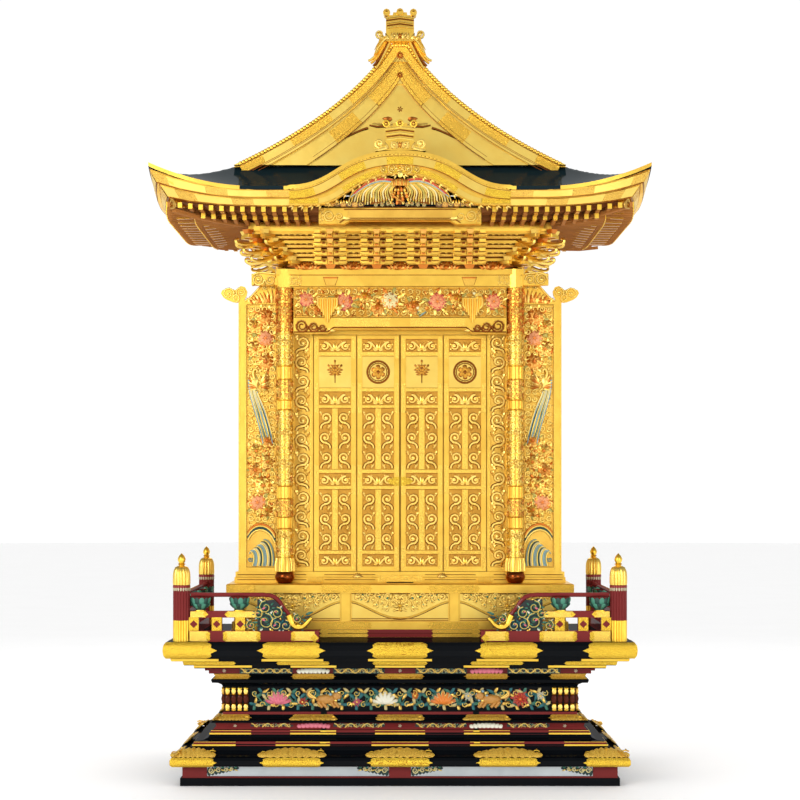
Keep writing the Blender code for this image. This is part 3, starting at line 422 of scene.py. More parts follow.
def shape(name):
    """A small form that carving is put together from, made once."""
    if name in SHAPES:
        return SHAPES[name]
    bm = bmesh.new()
    if name in ("leaf", "petal"):
        bmesh.ops.create_uvsphere(bm, u_segments=5, v_segments=4, radius=1)
        bm.transform(spun(pi / 2, "Y"))
        for vertex in bm.verts:
            t = (vertex.co.x + 1) / 2
            width = (1.15 - 0.75 * t) if name == "leaf" else (0.45 + 0.75 * t)
            curl = 0.3 * t * t if name == "leaf" else 0.0
            lift = 0.35 * sin(pi * t)
            vertex.co = (t, vertex.co.y * 0.5 * width + curl, vertex.co.z * 0.5 * (1 - 0.5 * t) + lift)
    elif name == "bead":
        bmesh.ops.create_uvsphere(bm, u_segments=8, v_segments=4, radius=1)
    elif name == "block":
        bmesh.ops.create_cube(bm, size=1, matrix=moved(0, 0, 0.5))
        bmesh.ops.bevel(bm, geom=bm.edges[:], affect="EDGES", offset=0.06, segments=1, profile=0.5,
            material=-1)
    elif name == "cup":
        bmesh.ops.create_cube(bm, size=1, matrix=moved(0, 0.5, 0.5))
        bmesh.ops.scale(bm, vec=(0.62, 1, 0.8), verts=[v for v in bm.verts if v.co.y < 0.1])
    elif name == "tablet":
        bmesh.ops.create_grid(bm, x_segments=1, y_segments=1, size=0.5)
        grown = bmesh.ops.extrude_face_region(bm, geom=bm.faces[:])["geom"]
        top = [v for v in grown if isinstance(v, bmesh.types.BMVert)]
        bmesh.ops.translate(bm, vec=(0, 0, 1), verts=top)
    mesh = bpy.data.meshes.new("shape_" + name)
    bm.to_mesh(mesh)
    bm.free()
    SHAPES[name] = mesh
    return mesh


def spiral(x, y, radius, start, turns, hand, steps=9):
    """A volute's line, from its outer end in to its eye."""
    count = ceil(turns * steps)
    found = []
    for i in range(count + 1):
        t = i / count
        angle, reach = start + hand * tau * turns * t, radius * (1 - 0.8 * t ** 1.25)
        found.append((x + reach * cos(angle), y + reach * sin(angle)))
    return found


class Relief:
    """Carving on a flat field: x across, y up, z out of it."""

    def __init__(self, depth, *finishes):
        self.bm = bmesh.new()
        self.depth = depth
        self.finishes = list(finishes)
        self.stems = {}

    def number(self, finish):
        """The index of a finish among the piece's materials."""
        if finish not in self.finishes:
            self.finishes.append(finish)
        return self.finishes.index(finish)

    def put(self, kind, finish, x, y, size, turn=0.0, z=0.0):
        """One small form, scaled, turned in the field and set in its place."""
        mesh = shape(kind).copy()
        place = moved(x, y, z) @ spun(turn)
        mesh.transform(place @ sized(*size))
        mesh.polygons.foreach_set("material_index", [self.number(finish)] * len(mesh.polygons))
        self.bm.from_mesh(mesh)
        bpy.data.meshes.remove(mesh)

    def stem(self, points, width, finish, tip=0.35, z=None, root=1.0):
        """A rounded stem along points of the field, which narrows to its tip."""
        height = width * 0.4 if z is None else z
        self.stems.setdefault(finish, []).append((points, width, tip, height, root))

    def rule(self, x0, y0, x1, y1, width, height=None):
        """A straight line of painted shadow, of even width, as at the edge of a board."""
        self.stem([(x0, y0), (x1, y1)], width, SHADOW, 1.0, height)

    def ground(self, x0, y0, x1, y1, finish, thick=0.0006):
        """A flat board behind the carving."""
        self.put("tablet", finish, (x0 + x1) / 2, (y0 + y1) / 2, (x1 - x0, y1 - y0, thick))

    def volute(self, x, y, radius, start, hand, width, finish, turns=1.6, leaves=3, leaf_finish=None,
            steps=9):
        """One scroll with a bead in its eye and leaves that spring from its back."""
        self.stem(spiral(x, y, radius, start, turns, hand, steps), width, finish, 0.45)
        self.put("bead", finish, x, y, (width * 1.3, width * 1.3, width * 1.5))
        for k in range(leaves):
            angle = start + hand * (0.6 + k * 1.45)
            px, py = x + radius * 0.86 * cos(angle), y + radius * 0.86 * sin(angle)
            self.put("leaf", leaf_finish or finish, px, py,
                (radius * 0.75, radius * 0.42 * -hand, width * 2.0), angle + hand * 0.75)

    def flower(self, x, y, radius, petals, finish, heart, layers=2, height=0.006):
        """An open flower: rings of petals round a heart."""
        for ring in range(layers):
            reach = radius * (1 - 0.34 * ring)
            for k in range(petals):
                angle = tau * (k + 0.5 * ring) / petals + 0.2
                self.put("petal", finish, x, y, (reach, reach * 2.4 / petals * 1.25,
                    height * (0.8 + 0.5 * ring)), angle, height * 0.35 * ring)
        self.put("bead", heart, x, y, (radius * 0.2, radius * 0.2, height * 0.7), z=height)

    def lotus(self, x, y, radius, finish, rim, height=0.008):
        """A lotus seen from the side, its petals fanned upwards, the front ones lowest."""
        for ring, (count, spread, reach) in enumerate(((7, 2.5, 1.0), (5, 1.7, 0.86), (3, 1.0, 0.68))):
            for k in range(count):
                angle = pi / 2 + spread * (k / (count - 1) - 0.5)
                base = y - radius * 0.52
                z = height * 0.25 * ring
                size = (radius * reach * 1.3, radius * 0.42, height)
                self.put("petal", rim, x, base, (size[0] * 1.08, size[1] * 1.12, size[2] * 0.8), angle, z)
                self.put("petal", finish, x, base, size, angle, z + height * 0.12)

    def settle(self, name, place, body="altar", slot="gold_leaf", replaces=(), smooth=38):
        self.close()
        return settle(name, self.bm, self.finishes, place, body, replaces, smooth)

    def close(self):
        """Draw the stems, and note how far each point stands up from the field."""
        for finish, lines in self.stems.items():
            self.draw(lines, self.number(finish))
        rise = self.bm.verts.layers.float.new("rise")
        for vertex in self.bm.verts:
            vertex[rise] = min(1.0, max(0.0, vertex.co.z / self.depth))

    def draw(self, lines, index):
        """Every stem of one finish, as one bevelled curve turned into mesh."""
        curve = bpy.data.curves.new("stems", "CURVE")
        curve.dimensions = "3D"
        curve.bevel_depth = 1.0
        curve.bevel_resolution = 1
        curve.use_fill_caps = True
        for points, width, tip, height, root in lines:
            spline = curve.splines.new("POLY")
            spline.points.add(len(points) - 1)
            for i, (point, co) in enumerate(zip(spline.points, points)):
                t = i / (len(points) - 1)
                grow = min(1.0, root + (1 - root) * t * 4)
                z = height + (co[2] if len(co) > 2 else 0.0)
                point.co = (co[0], co[1], z, 1)
                point.radius = width * (1 - (1 - tip) * t) * grow
        obj = bpy.data.objects.new("stems", curve)
        bpy.context.scene.collection.objects.link(obj)
        bpy.context.view_layer.update()
        graph = bpy.context.evaluated_depsgraph_get()
        mesh = bpy.data.meshes.new_from_object(obj.evaluated_get(graph))
        mesh.polygons.foreach_set("material_index", [index] * len(mesh.polygons))
        self.bm.from_mesh(mesh)
        bpy.data.objects.remove(obj)
        bpy.data.curves.remove(curve)
        bpy.data.meshes.remove(mesh)


def outlined(relief, line, width, finish, tip):
    """A stem with a painted shadow along both sides, for the dark of its undercut."""
    relief.stem(line, width, finish, tip)
    relief.stem(line, width * 1.5, SHADOW, tip, -0.4 * width)


def scroll_column(relief, x0, x1, y0, y1, count, hand, finish, width):
    """Volutes one over the other in a tall panel, with leaves between them."""
    pitch, middle = (y1 - y0) / count, (x0 + x1) / 2
    radius = min((x1 - x0) * 0.42, pitch * 0.4)
    lean = (x1 - x0) / 2 - radius - width * 0.4
    for k in range(count):
        turn = hand * (-1 if k % 2 else 1)
        x, y = middle + turn * lean, y0 + pitch * (k + 0.56)
        outlined(relief, spiral(x, y, radius, -pi / 2 - turn * 0.3, 1.35, turn), width, finish, 0.5)
        relief.put("bead", finish, x, y, (width * 1.1, width * 1.1, width * 1.2))
        foot = y0 + pitch * k
        line = bezier((middle - turn * radius * 0.9, foot + pitch * 0.02),
            (middle - turn * radius * 0.9, foot + pitch * 0.2), (x - turn * radius * 0.5, y - radius),
            (x, y - radius), 5)
        outlined(relief, line, width * 0.9, finish, 0.9)
        for j, (angle, reach) in enumerate(((0.15, 0.95), (0.9, 0.85), (1.7, 0.7), (2.4, 0.5))):
            relief.put("leaf", finish, middle + turn * radius * 0.75, foot + pitch * (0.1 - 0.03 * j),
                (radius * reach, radius * 0.5 * turn, width * 1.4), pi / 2 - turn * (0.5 - angle))
        for j in range(3):
            relief.put("leaf", finish, x - turn * radius * 0.8, y + radius * (0.35 + 0.3 * j),
                (radius * 0.8, radius * 0.46 * turn, width * 1.4), pi / 2 + turn * (0.2 + 0.5 * j))


def scroll_pair(relief, x0, x1, y0, y1, finish, width):
    """Two volutes that face each other in a low panel, with a fan of leaves between them."""
    middle, half = (x0 + x1) / 2, (x1 - x0) / 2
    radius = (y1 - y0) * 0.36
    for side in (-1, 1):
        x, y = middle + side * (half - radius * 1.25), (y0 + y1) / 2 - radius * 0.15
        outlined(relief, spiral(x, y, radius, pi / 2, 1.25, side), width, finish, 0.5)
        relief.put("bead", finish, x, y, (width * 1.1, width * 1.1, width * 1.2))
        relief.stem(bezier((middle + side * width * 0.6, y0 + width),
            (middle + side * half * 0.25, y0 + width * 2), (middle + side * half * 0.35, y1 - width),
            (x, y + radius), 6), width, finish, 0.9)
        for k in range(4):
            relief.put("leaf", finish, middle + side * 0.002, y0 + 0.002,
                (radius * (2.2 - 0.3 * k), radius * 0.62 * side, width * 1.4),
                pi / 2 - side * (0.15 + 0.42 * k))
        for k in range(2):
            relief.put("leaf", finish, middle + side * (half * 0.5 - 0.006 * k), y1 - 0.003,
                (radius * 1.0, radius * 0.55 * side, width * 1.3), -pi / 2 - side * (0.5 - 0.9 * k))
            relief.put("leaf", finish, middle + side * (half - 0.003), y0 + 0.004 + k * radius * 1.2,
                (radius * 0.9, radius * 0.5 * side, width * 1.3), pi / 2 + side * 0.7)


def vine(relief, x0, x1, middle, height, stem_finish, leaf_finish, width, pitch, phase=1):
    """A running scroll: one waving stem, with a volute in each bend and leaves at each root."""
    count = max(2, round((x1 - x0) / pitch))
    step = (x1 - x0) / count
    wave = [(x0 + step * i / 6, middle + phase * height * 0.36 * cos(pi * i / 6))
        for i in range(count * 6 + 1)]
    relief.stem(wave, width, stem_finish, 0.9)
    for k in range(count):
        hand = phase * (1 if k % 2 == 0 else -1)
        x, y = x0 + step * (k + 0.5), middle
        radius = min(height * 0.32, step * 0.36)
        relief.stem(spiral(x, y, radius, -hand * pi / 2, 1.2, hand, 7), width * 0.85, stem_finish, 0.5)
        for j in range(3):
            angle = -hand * pi / 2 + hand * (1.3 + 1.4 * j)
            relief.put("leaf", leaf_finish, x + radius * 0.9 * cos(angle), y + radius * 0.9 * sin(angle),
                (height * 0.3, height * 0.15 * hand, width * 1.8), angle - hand * 0.7)
        for side in (-1, 1):
            relief.put("leaf", leaf_finish, x + side * step * 0.42, middle - hand * height * 0.38,
                (height * 0.34, height * 0.17 * side, width * 1.8), hand * pi / 2 + side * 0.6)


def sheet(bm, columns, rows, where, thick, index=0):
    """A thin sheet of metal over the points of where(column, row), with its thickness behind it."""
    verts = bmesh.ops.create_grid(bm, x_segments=columns - 1, y_segments=rows - 1, size=1)["verts"]
    for k, vertex in enumerate(verts):
        vertex.co = where(k % columns, k // columns)
    faces = list({face for vertex in verts for face in vertex.link_faces})
    for face in faces:
        face.material_index = index
    for element in (*faces, *verts):
        element.normal_update()
    bmesh.ops.solidify(bm, geom=faces, thickness=thick)


def lifted(profile, lift):
    """A moulding's profile of (inset, z), moved out from its surface by the thickness of the metal on it."""
    found = []
    for k, (inset, z) in enumerate(profile):
        before, after = profile[max(0, k - 1)], profile[min(len(profile) - 1, k + 1)]
        di, dz = after[0] - before[0], after[1] - before[1]
        length = sqrt(di * di + dz * dz)
        found.append((inset - lift * dz / length, z + lift * di / length))
    return found


# How far a fitting's end reaches at thirteen heights: two round lobes and a point between them
LOBES = (0.0, 0.3, 0.46, 0.44, 0.4, 0.66, 1.0, 0.66, 0.4, 0.44, 0.46, 0.3, 0.0)


def fittings(bm, index, profile, spans, half, lift, end=0.012, sides=SIDES, middle_y=0.0, columns=6):
    """Sheets over a moulding, along spans of each side. A span with no end runs to the mitred corner."""
    rows = lifted(profile, lift)
    for side in sides:
        across, long, deep = run_of(side, half)
        place = moved(0, middle_y, 0) @ spun(SIDES[side])
        for a, b in spans:
            if not across:
                if a > 0 and b:
                    continue
                a = a if a <= 0 else a - (half[0] - half[1])
            for mirror in ((1,) if a < 0 else (1, -1)):
                def where(i, j):
                    inset, z = rows[j]
                    cusp = end * (1 - LOBES[round(j / (len(rows) - 1) * 12)])
                    first, last = a + cusp, (b - cusp) if b else long - inset
                    return place @ Vector((mirror * (first + (last - first) * i / (columns - 1)),
                        -(deep - inset), z))
                sheet(bm, columns, len(rows), where, 0.0009, index)


CAD_FINISH = {
    "gold_leaf": PLAIN, "black_lacquer": "black_lacquer", "red_brown_lacquer": "red_brown_lacquer",
    "gilt_metal": GILT, "dark_bronze": "dark_bronze", "painted_carving": DARK_GREEN,
}


def finish_frame():
    """The finish of every frame node."""
    slots = {row["node"]: row["material_slot"] for row in frame["record"]["subparts"]}
    # The wave's carving takes the painted shadow gold
    special = {"roof_main": "roof_lacquer", "roof_skirt_front": "roof_lacquer",
        "roof_skirt_back": "roof_lacquer", "eave_soffit": "soffit_lacquer", "gable_front": PALE,
        "gable_back": PALE, "wave_board": PLAIN, "wave_carving": SHADOW}
    for name, obj in NODES.items():
        finish = special.get(name, CAD_FINISH[slots[name]])
        obj.data.materials.clear()
        obj.data.materials.append(bpy.data.materials[finish])


WIDE_ROWS = ((0.022, 0.068), (0.347, 0.395), (0.673, 0.724), (0.888, 0.936))
TALL_ROWS = ((0.086, 0.33), (0.413, 0.658))
EMBLEM_ROW = (0.742, 0.868)
STILE, MUNTIN, PANEL_DEPTH = 0.022, 0.023, 0.007


def chased(relief, x0, y0, x1, y1, z, thick=0.0007):
    """A flat sheet of chased gilt metal."""
    relief.put("tablet", FINE, (x0 + x1) / 2, (y0 + y1) / 2, (x1 - x0, y1 - y0, thick), z=z)


def leaf_spray(relief, x, y, size, z):
    """A plain spray: a stem with paired leaves, and a bud over two side shoots, all edged with painted
    shadow.
    """
    for angle, reach in ((0.0, 1.0), (0.62, 0.8), (-0.62, 0.8)):
        tip = (x + size * reach * sin(angle), y + size * (reach * cos(angle) - 0.2))
        root = (x, y - size * 0.95)
        line = bezier(root, (x, y - size * 0.3), (x, y), tip, 6)
        relief.stem([(px, py, z) for px, py in line], 0.002, SHADOW, 0.7)
        for finish, grow, lift in ((SHADOW, 1.0, 0.0), (DEEP, 0.62, 0.0014)):
            relief.put("petal", finish, tip[0] - size * 0.1 * sin(angle), tip[1] - 0.004,
                (size * 0.38 * grow, size * 0.24 * grow, 0.003), pi / 2 - angle, z + lift)
        for k in (1, 2, 3):
            px, py = line[k + 2]
            for side in (-1, 1):
                for finish, grow, lift in ((SHADOW, 1.0, 0.0), (DEEP, 0.6, 0.0012)):
                    relief.put("leaf", finish, px, py, (size * 0.46 * grow, size * 0.3 * side * grow,
                        0.003), pi / 2 - angle + side * 0.9, z + lift)


def rosette(relief, x, y, size, z):
    """A plain round rosette inside a beaded ring, edged with painted shadow."""
    for reach, width, finish in ((1.0, 0.004, SHADOW), (1.0, 0.002, DEEP), (0.8, 0.0018, SHADOW)):
        ring = [(x + size * reach * cos(tau * i / 28), y + size * reach * sin(tau * i / 28),
            z + (0.001 if width < 0.003 else 0)) for i in range(29)]
        relief.stem(ring, width, finish, 1.0)
    for k in range(20):
        angle = tau * k / 20
        relief.put("bead", DEEP, x + size * 0.9 * cos(angle), y + size * 0.9 * sin(angle),
            (0.0024, 0.0024, 0.0022), z=z)
    for finish, grow, lift in ((SHADOW, 1.0, 0.0), (DEEP, 0.8, 0.0014)):
        for k in range(6):
            angle = tau * k / 6 + pi / 6
            relief.put("petal", finish, x, y, (size * 0.7 * grow, size * 0.56 * grow, 0.003), angle,
                z + lift)
    relief.put("bead", SHADOW, x, y, (size * 0.16, size * 0.16, 0.003), z=z + 0.003)


def carve_leaf(leaf, sizes, spray):
    """The carving and chased sheets of one door leaf."""
    low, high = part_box("door_" + leaf)
    width, middle = high.x - low.x, (high.x - low.x) / 2
    relief = Relief(sizes.relief, GOLD)
    right = width - STILE
    left_edge, right_edge = middle - MUNTIN / 2, middle + MUNTIN / 2
    for y0, y1 in WIDE_ROWS:
        relief.ground(STILE, y0, right, y1, HOLLOW)
        scroll_pair(relief, STILE + 0.001, right - 0.001, y0 + 0.001, y1 - 0.001, GOLD, sizes.stem * 1.55)
    for y0, y1 in TALL_ROWS:
        for hand, (x0, x1) in ((1, (STILE, left_edge)), (-1, (right_edge, right))):
            relief.ground(x0, y0, x1, y1, HOLLOW)
            scroll_column(relief, x0 + 0.001, x1 - 0.001, y0 + 0.002, y1 - 0.002, 3, hand, GOLD,
                sizes.stem * 1.6)
        chased(relief, left_edge + 0.002, y0, right_edge - 0.002, y1, PANEL_DEPTH)
    for y0, y1 in ((0.07, 0.084), (0.332, 0.345), (0.397, 0.411), (0.66, 0.671), (0.726, 0.74),
            (0.87, 0.886)):
        chased(relief, STILE, y0 + 0.001, right, y1 - 0.001, PANEL_DEPTH)
    for x in (0.003, width - 0.019):
        for y0, y1 in ((0.01, 0.1), (0.31, 0.43), (0.64, 0.76), (0.86, 0.945)):
            chased(relief, x, y0, x + 0.016, y1, PANEL_DEPTH)
    # Painted shadow lines along the top and bottom of each panel, and down both edges of the leaf
    for y0, y1 in WIDE_ROWS + TALL_ROWS + (EMBLEM_ROW,):
        for y, thick in ((y0 - 0.0012, 0.0016), (y1 + 0.0012, 0.0022)):
            relief.put("tablet", SHADOW, middle, y, (right - STILE, thick, 0.0005), z=PANEL_DEPTH)
    for x in (0.0012, width - 0.0012):
        relief.put("tablet", SHADOW, x, 0.4765, (0.0014, 0.95, 0.0005), z=PANEL_DEPTH)
    middle_y = (EMBLEM_ROW[0] + EMBLEM_ROW[1]) / 2
    ground = PANEL_DEPTH - 0.004
    relief.put("tablet", PALE, middle, middle_y, (right - STILE, 0.126, 0.0006), z=ground)
    if spray:
        leaf_spray(relief, middle, middle_y, 0.046, ground + 0.0006)
    else:
        rosette(relief, middle, middle_y, 0.044, ground + 0.0006)
    return relief.settle("carving_" + leaf, field("front", -LEAF_FRONT - PANEL_DEPTH, DOOR_BOTTOM, 0,
        low.x), "leaf_" + leaf)


def make_doors(sizes):
    """The four leaves' carving, and a lock plate on each side of the meeting."""
    for index, leaf in enumerate(("left_outer", "left_inner", "right_inner", "right_outer")):
        carve_leaf(leaf, sizes, index % 2 == 0)
    for side, leaf in ((-1, "left_inner"), (1, "right_inner")):
        plate = Relief(0.004, ENGRAVED)
        for x, y, reach in ((0.02, 0, 0.016), (0.036, 0.003, 0.01), (0.036, -0.003, 0.01),
                (0.046, 0, 0.006)):
            plate.put("bead", ENGRAVED, side * x, y, (reach, reach, 0.0022))
        plate.put("tablet", ENGRAVED, side * 0.0135, 0, (0.021, 0.036, 0.0016))
        plate.put("bead", GILT, side * 0.011, 0, (0.005, 0.005, 0.0032))
        plate.settle("lock_plate_" + leaf, field("front", -LEAF_FRONT + 0.0001, 1.182), "leaf_" + leaf,
            "gilt_metal")


def make_jambs(sizes):
    """The two strips of running scrolls beside the doors, and the strip over them."""
    relief = Relief(0.006, GOLD)
    for side in (-1, 1):
        x0, x1 = sorted((side * 0.3645, side * 0.4275))
        relief.ground(x0, 0.836, x1, 1.777, GROUND)
        scroll_column(relief, x0 + 0.001, x1 - 0.001, 0.838, 1.776, 12, side, GOLD, sizes.stem * 1.8)
        for k in range(24):
            y = 0.858 + 0.0392 * k
            relief.put("leaf", GOLD, x0 + 0.004 if k % 2 else x1 - 0.004, y,
                (0.026, 0.012 * (1 if k % 2 else -1), 0.006), pi / 2 + (0.7 if k % 2 == 0 else -0.7))
        for x in (x0 - 0.0065, x1 + 0.0008):
            chased(relief, x, 0.836, x + 0.0058, 1.776, 0.01, 0.001)
    relief.settle("jamb_carving", field("front", 0.173))
    lintel = Relief(0.004, RED_GOLD)
    lintel.put("tablet", GROUND, 0, 1.7753, (0.7, 0.0036, 0.004))
    lintel.settle("lintel_strip", field("front", 0.1835))


def mirror_place(place, hand):
    """The same place on the other side of the altar, when hand is -1."""
    return sized(hand, 1, 1) @ place


def carved_ground(relief, x0, x1, y0, y1, pitch, width, finish, phase=0):
    """A field closely filled with small volutes and leaves, in staggered rows."""
    rows = max(1, round((y1 - y0) / pitch))
    columns = max(1, round((x1 - x0) / pitch))
    dx, dy = (x1 - x0) / columns, (y1 - y0) / rows
    for j in range(rows):
        for i in range(columns):
            hand = 1 if (i + j + phase) % 2 == 0 else -1
            x, y = x0 + dx * (i + 0.5), y0 + dy * (j + 0.5)
            radius = min(dx, dy) * 0.42
            start = (i * 1.7 + j * 2.3 + phase) % 6.28
            relief.stem(spiral(x, y, radius, start, 1.2, hand, 6), width, finish, 0.5)
            for k in range(3):
                angle = start + hand * (0.4 + 1.7 * k)
                relief.put("leaf", finish, x + radius * cos(angle) * 0.9, y + radius * sin(angle) * 0.9,
                    (radius * 0.9, radius * 0.45 * -hand, width * 1.8), angle + hand * 0.8)


def peony(relief, x, y, radius, finish, edge, height=0.01):
    """A full flower: three rings of broad petals, each with its edge picked out."""
    for ring, (count, reach) in enumerate(((8, 1.0), (7, 0.74), (5, 0.46))):
        for k in range(count):
            angle = tau * (k + 0.4 * ring) / count + x * 20
            size, z = radius * reach, height * 0.3 * ring
            relief.put("petal", edge, x, y, (size, size * 0.86, height * 0.8), angle, z)
            relief.put("petal", finish, x, y, (size * 0.86, size * 0.64, height), angle, z + height * 0.1)
    relief.put("bead", ORANGE, x, y, (radius * 0.15, radius * 0.15, height * 0.6), z=height)


def make_wings():
    """The tall painted and gilded panels: scrolls, peonies, a long-tailed bird's feathers and waves."""
    width = 0.118
    blooms = ((0.074, 0.262, 0.036, ROSY), (0.036, 0.232, 0.026, PALE), (0.052, 0.33, 0.036, PALE),
        (0.084, 0.392, 0.028, BLUSH), (0.034, 0.425, 0.028, GOLD), (0.08, 0.47, 0.03, PALE),
        (0.036, 0.512, 0.028, BLUSH), (0.042, 0.83, 0.034, BLUSH), (0.084, 0.88, 0.032, GOLD),
        (0.042, 0.925, 0.036, ROSY), (0.086, 0.972, 0.03, PALE), (0.048, 1.012, 0.036, BLUSH))
    for side in (-1, 1):
        relief = Relief(0.007, GOLD)
        relief.ground(0, 0.0005, width, 1.0595, GROUND)
        carved_ground(relief, 0.002, width - 0.002, 0.15, 1.056, 0.03, 0.0044, GOLD)
        for k in range(14):
            finish = (SEA, GOLD, DARK_GREEN, CREAM, GOLD, BLUE_GREY)[k % 6]
            relief.stem(bezier((0.01 + 0.0066 * k, 0.006), (0.004 + 0.0055 * k, 0.06),
                (0.02 + 0.007 * k, 0.118 - 0.003 * k), (0.05 + 0.0047 * k, 0.112 - 0.0047 * k), 9), 0.0036,
                finish, 0.6, 0.006)
        for k in range(4):
            relief.stem(bezier((0.004, 0.1 + 0.01 * k), (0.03, 0.165 + 0.008 * k), (0.09, 0.17 + 0.006 * k),
                (0.114, 0.11 + 0.01 * k), 9), 0.005, (GOLD, DARK_GREEN, PALE, RED_GOLD)[k], 0.7, 0.006)
        for k in range(6):
            relief.volute(0.014 + 0.018 * k, 0.02 + 0.012 * (k % 2), 0.01, 0.5 * k, 1 if k % 2 else -1,
                0.003, (CREAM, SEA)[k % 2], 1.3, 1)
        for x, y, r, finish in blooms:
            for k in range(8):
                angle = tau * k / 8 + y * 30
                relief.put("leaf", (GOLD, OLIVE, RED_GOLD, GOLD)[k % 4],
                    min(width - 0.014, max(0.014, x + r * 0.9 * cos(angle))), y + r * 0.9 * sin(angle),
                    (r * 0.8, r * 0.46, 0.01), angle)
            peony(relief, x, y, r * 1.12, finish, RED_GOLD)
        for k in range(14):
            finish = (BLUE_GREY, GOLD, SEA, GOLD, DARK_GREEN, PALE)[k % 6]
            line = bezier((0.11 - 0.0028 * k, 0.756 - 0.004 * k), (0.11 - 0.0034 * k, 0.68),
                (0.078 - 0.0034 * k, 0.63), (0.052 - 0.0032 * k, 0.5 + 0.012 * (k % 4)), 9)
            relief.stem(line, 0.0036, finish, 0.5, 0.007)
        for hand in (-1, 1):
            for k in range(7):
                relief.put("leaf", (GOLD, BLUSH, RED_GOLD)[k % 3], 0.07 + hand * 0.008, 0.745 - 0.004 * k,
                    (0.052 - 0.003 * k, 0.012, 0.009), pi / 2 - hand * (0.5 + 0.22 * k), 0.008)
        relief.put("petal", GOLD, 0.074, 0.722, (0.06, 0.036, 0.014), 1.2, 0.006)
        relief.stem(bezier((0.088, 0.762), (0.104, 0.8), (0.072, 0.812), (0.076, 0.785), 6), 0.007, GOLD,
            0.7, 0.012)
        name = "left" if side < 0 else "right"
        relief.settle("wing_carving_" + name, mirror_place(field("front", 0.193, 0.835, 0, 0.5), side))
        trim = Relief(0.006, GOLD)
        for x, reach in ((0.4775, 0.021), (0.619, 0.006), (0.6435, 0.006)):
            chased(trim, x, 0.822, x + reach, 1.895, 0, 0.0012)
        # A painted shadow line round the panel's edge
        trim.stem([(0.4995, 0.836), (0.4995, 1.894), (0.6185, 1.894), (0.6185, 0.836), (0.4995, 0.836)],
            0.0012, SHADOW, 1.0, 0.0008)
        trim.stem(spiral(0.664, 1.921, 0.018, -pi / 2, 1.1, -1), 0.004, GOLD, 0.8, 0.004)
        trim.volute(0.641, 1.944, 0.02, -0.4, 1, 0.0042, GOLD, 1.3, 0)
        trim.volute(0.692, 1.938, 0.024, pi, -1, 0.0042, GOLD, 1.3, 0)
        trim.stem([(0.5, 1.979), (0.552, 1.979), (0.604, 1.921), (0.626, 1.908)], 0.004, GOLD, 1.0, 0.003)
        trim.put("tablet", GROUND, 0.548, 1.918, (0.09, 0.03, 0.0006))
        for row in range(2):
            for k in range(9):
                trim.put("leaf", (RED_GOLD, BLUSH, GOLD)[(k + row) % 3], 0.504 + k * 0.011, 1.899,
                    (0.06 - 0.003 * k - 0.016 * row, 0.018, 0.008), 1.6 - 0.13 * k, 0.003 * row)
        trim.volute(0.516, 1.966, 0.011, 0, 1, 0.0034, GOLD, 1.4, 3)
        trim.volute(0.545, 1.964, 0.01, 0, -1, 0.0032, GOLD, 1.4, 3)
        trim.settle("wing_trim_" + name, mirror_place(field("front", 0.2001), side))


COLUMN_R, BARE_R = 0.0318, 0.0262
COLUMN_PARTS = ((0.877, 0.991, "carved"), (0.991, 1.039, "plain"), (1.039, 1.111, "ring"),
    (1.111, 1.163, "plain"), (1.163, 1.4675, "carved"), (1.4675, 1.5076, "plain"), (1.5076, 1.588, "ring"),
    (1.588, 1.644, "plain"), (1.644, 1.772, "carved"), (1.772, 1.955, "capital"))


def turned(bm, profile, x, y, steps, index=0):
    """A turned form about an upright axis, from a line of (radius, z)."""
    older = set(bm.verts)
    verts = [bm.verts.new((x + r, y, z)) for r, z in profile]
    edges = [bm.edges.new(pair) for pair in zip(verts, verts[1:])]
    bmesh.ops.spin(bm, geom=verts + edges, cent=(x, y, 0), axis=(0, 0, 1), angle=tau, steps=steps,
        use_merge=True)
    newer = [vertex for vertex in bm.verts if vertex not in older]
    bmesh.ops.remove_doubles(bm, verts=newer, dist=0.00001)
    paint([vertex for vertex in bm.verts if vertex not in older], index)


def column_profile(front):
    """A column's outline: plain at the back, waisted at the front where the carving leaves it bare."""
    low, top = 0.8204, 1.9555
    if not front:
        return [(0, low), (0.0315, low), (0.0315, top), (0, top)]
    profile = [(0, low), (0.0385, low), (0.0375, 0.862), (0.033, 0.876)]
    for z0, z1, kind in COLUMN_PARTS:
        if kind == "plain":
            profile += [(COLUMN_R, z0), (BARE_R, z0 + 0.004), (BARE_R, z1 - 0.004), (COLUMN_R, z1)]
    return profile + [(COLUMN_R, top), (0, top)]


def column_radius(z):
    """The front column's radius at a height: slimmer where it is left plain."""
    for z0, z1, kind in COLUMN_PARTS:
        if z0 <= z <= z1:
            return BARE_R if kind == "plain" else COLUMN_R
    return COLUMN_R


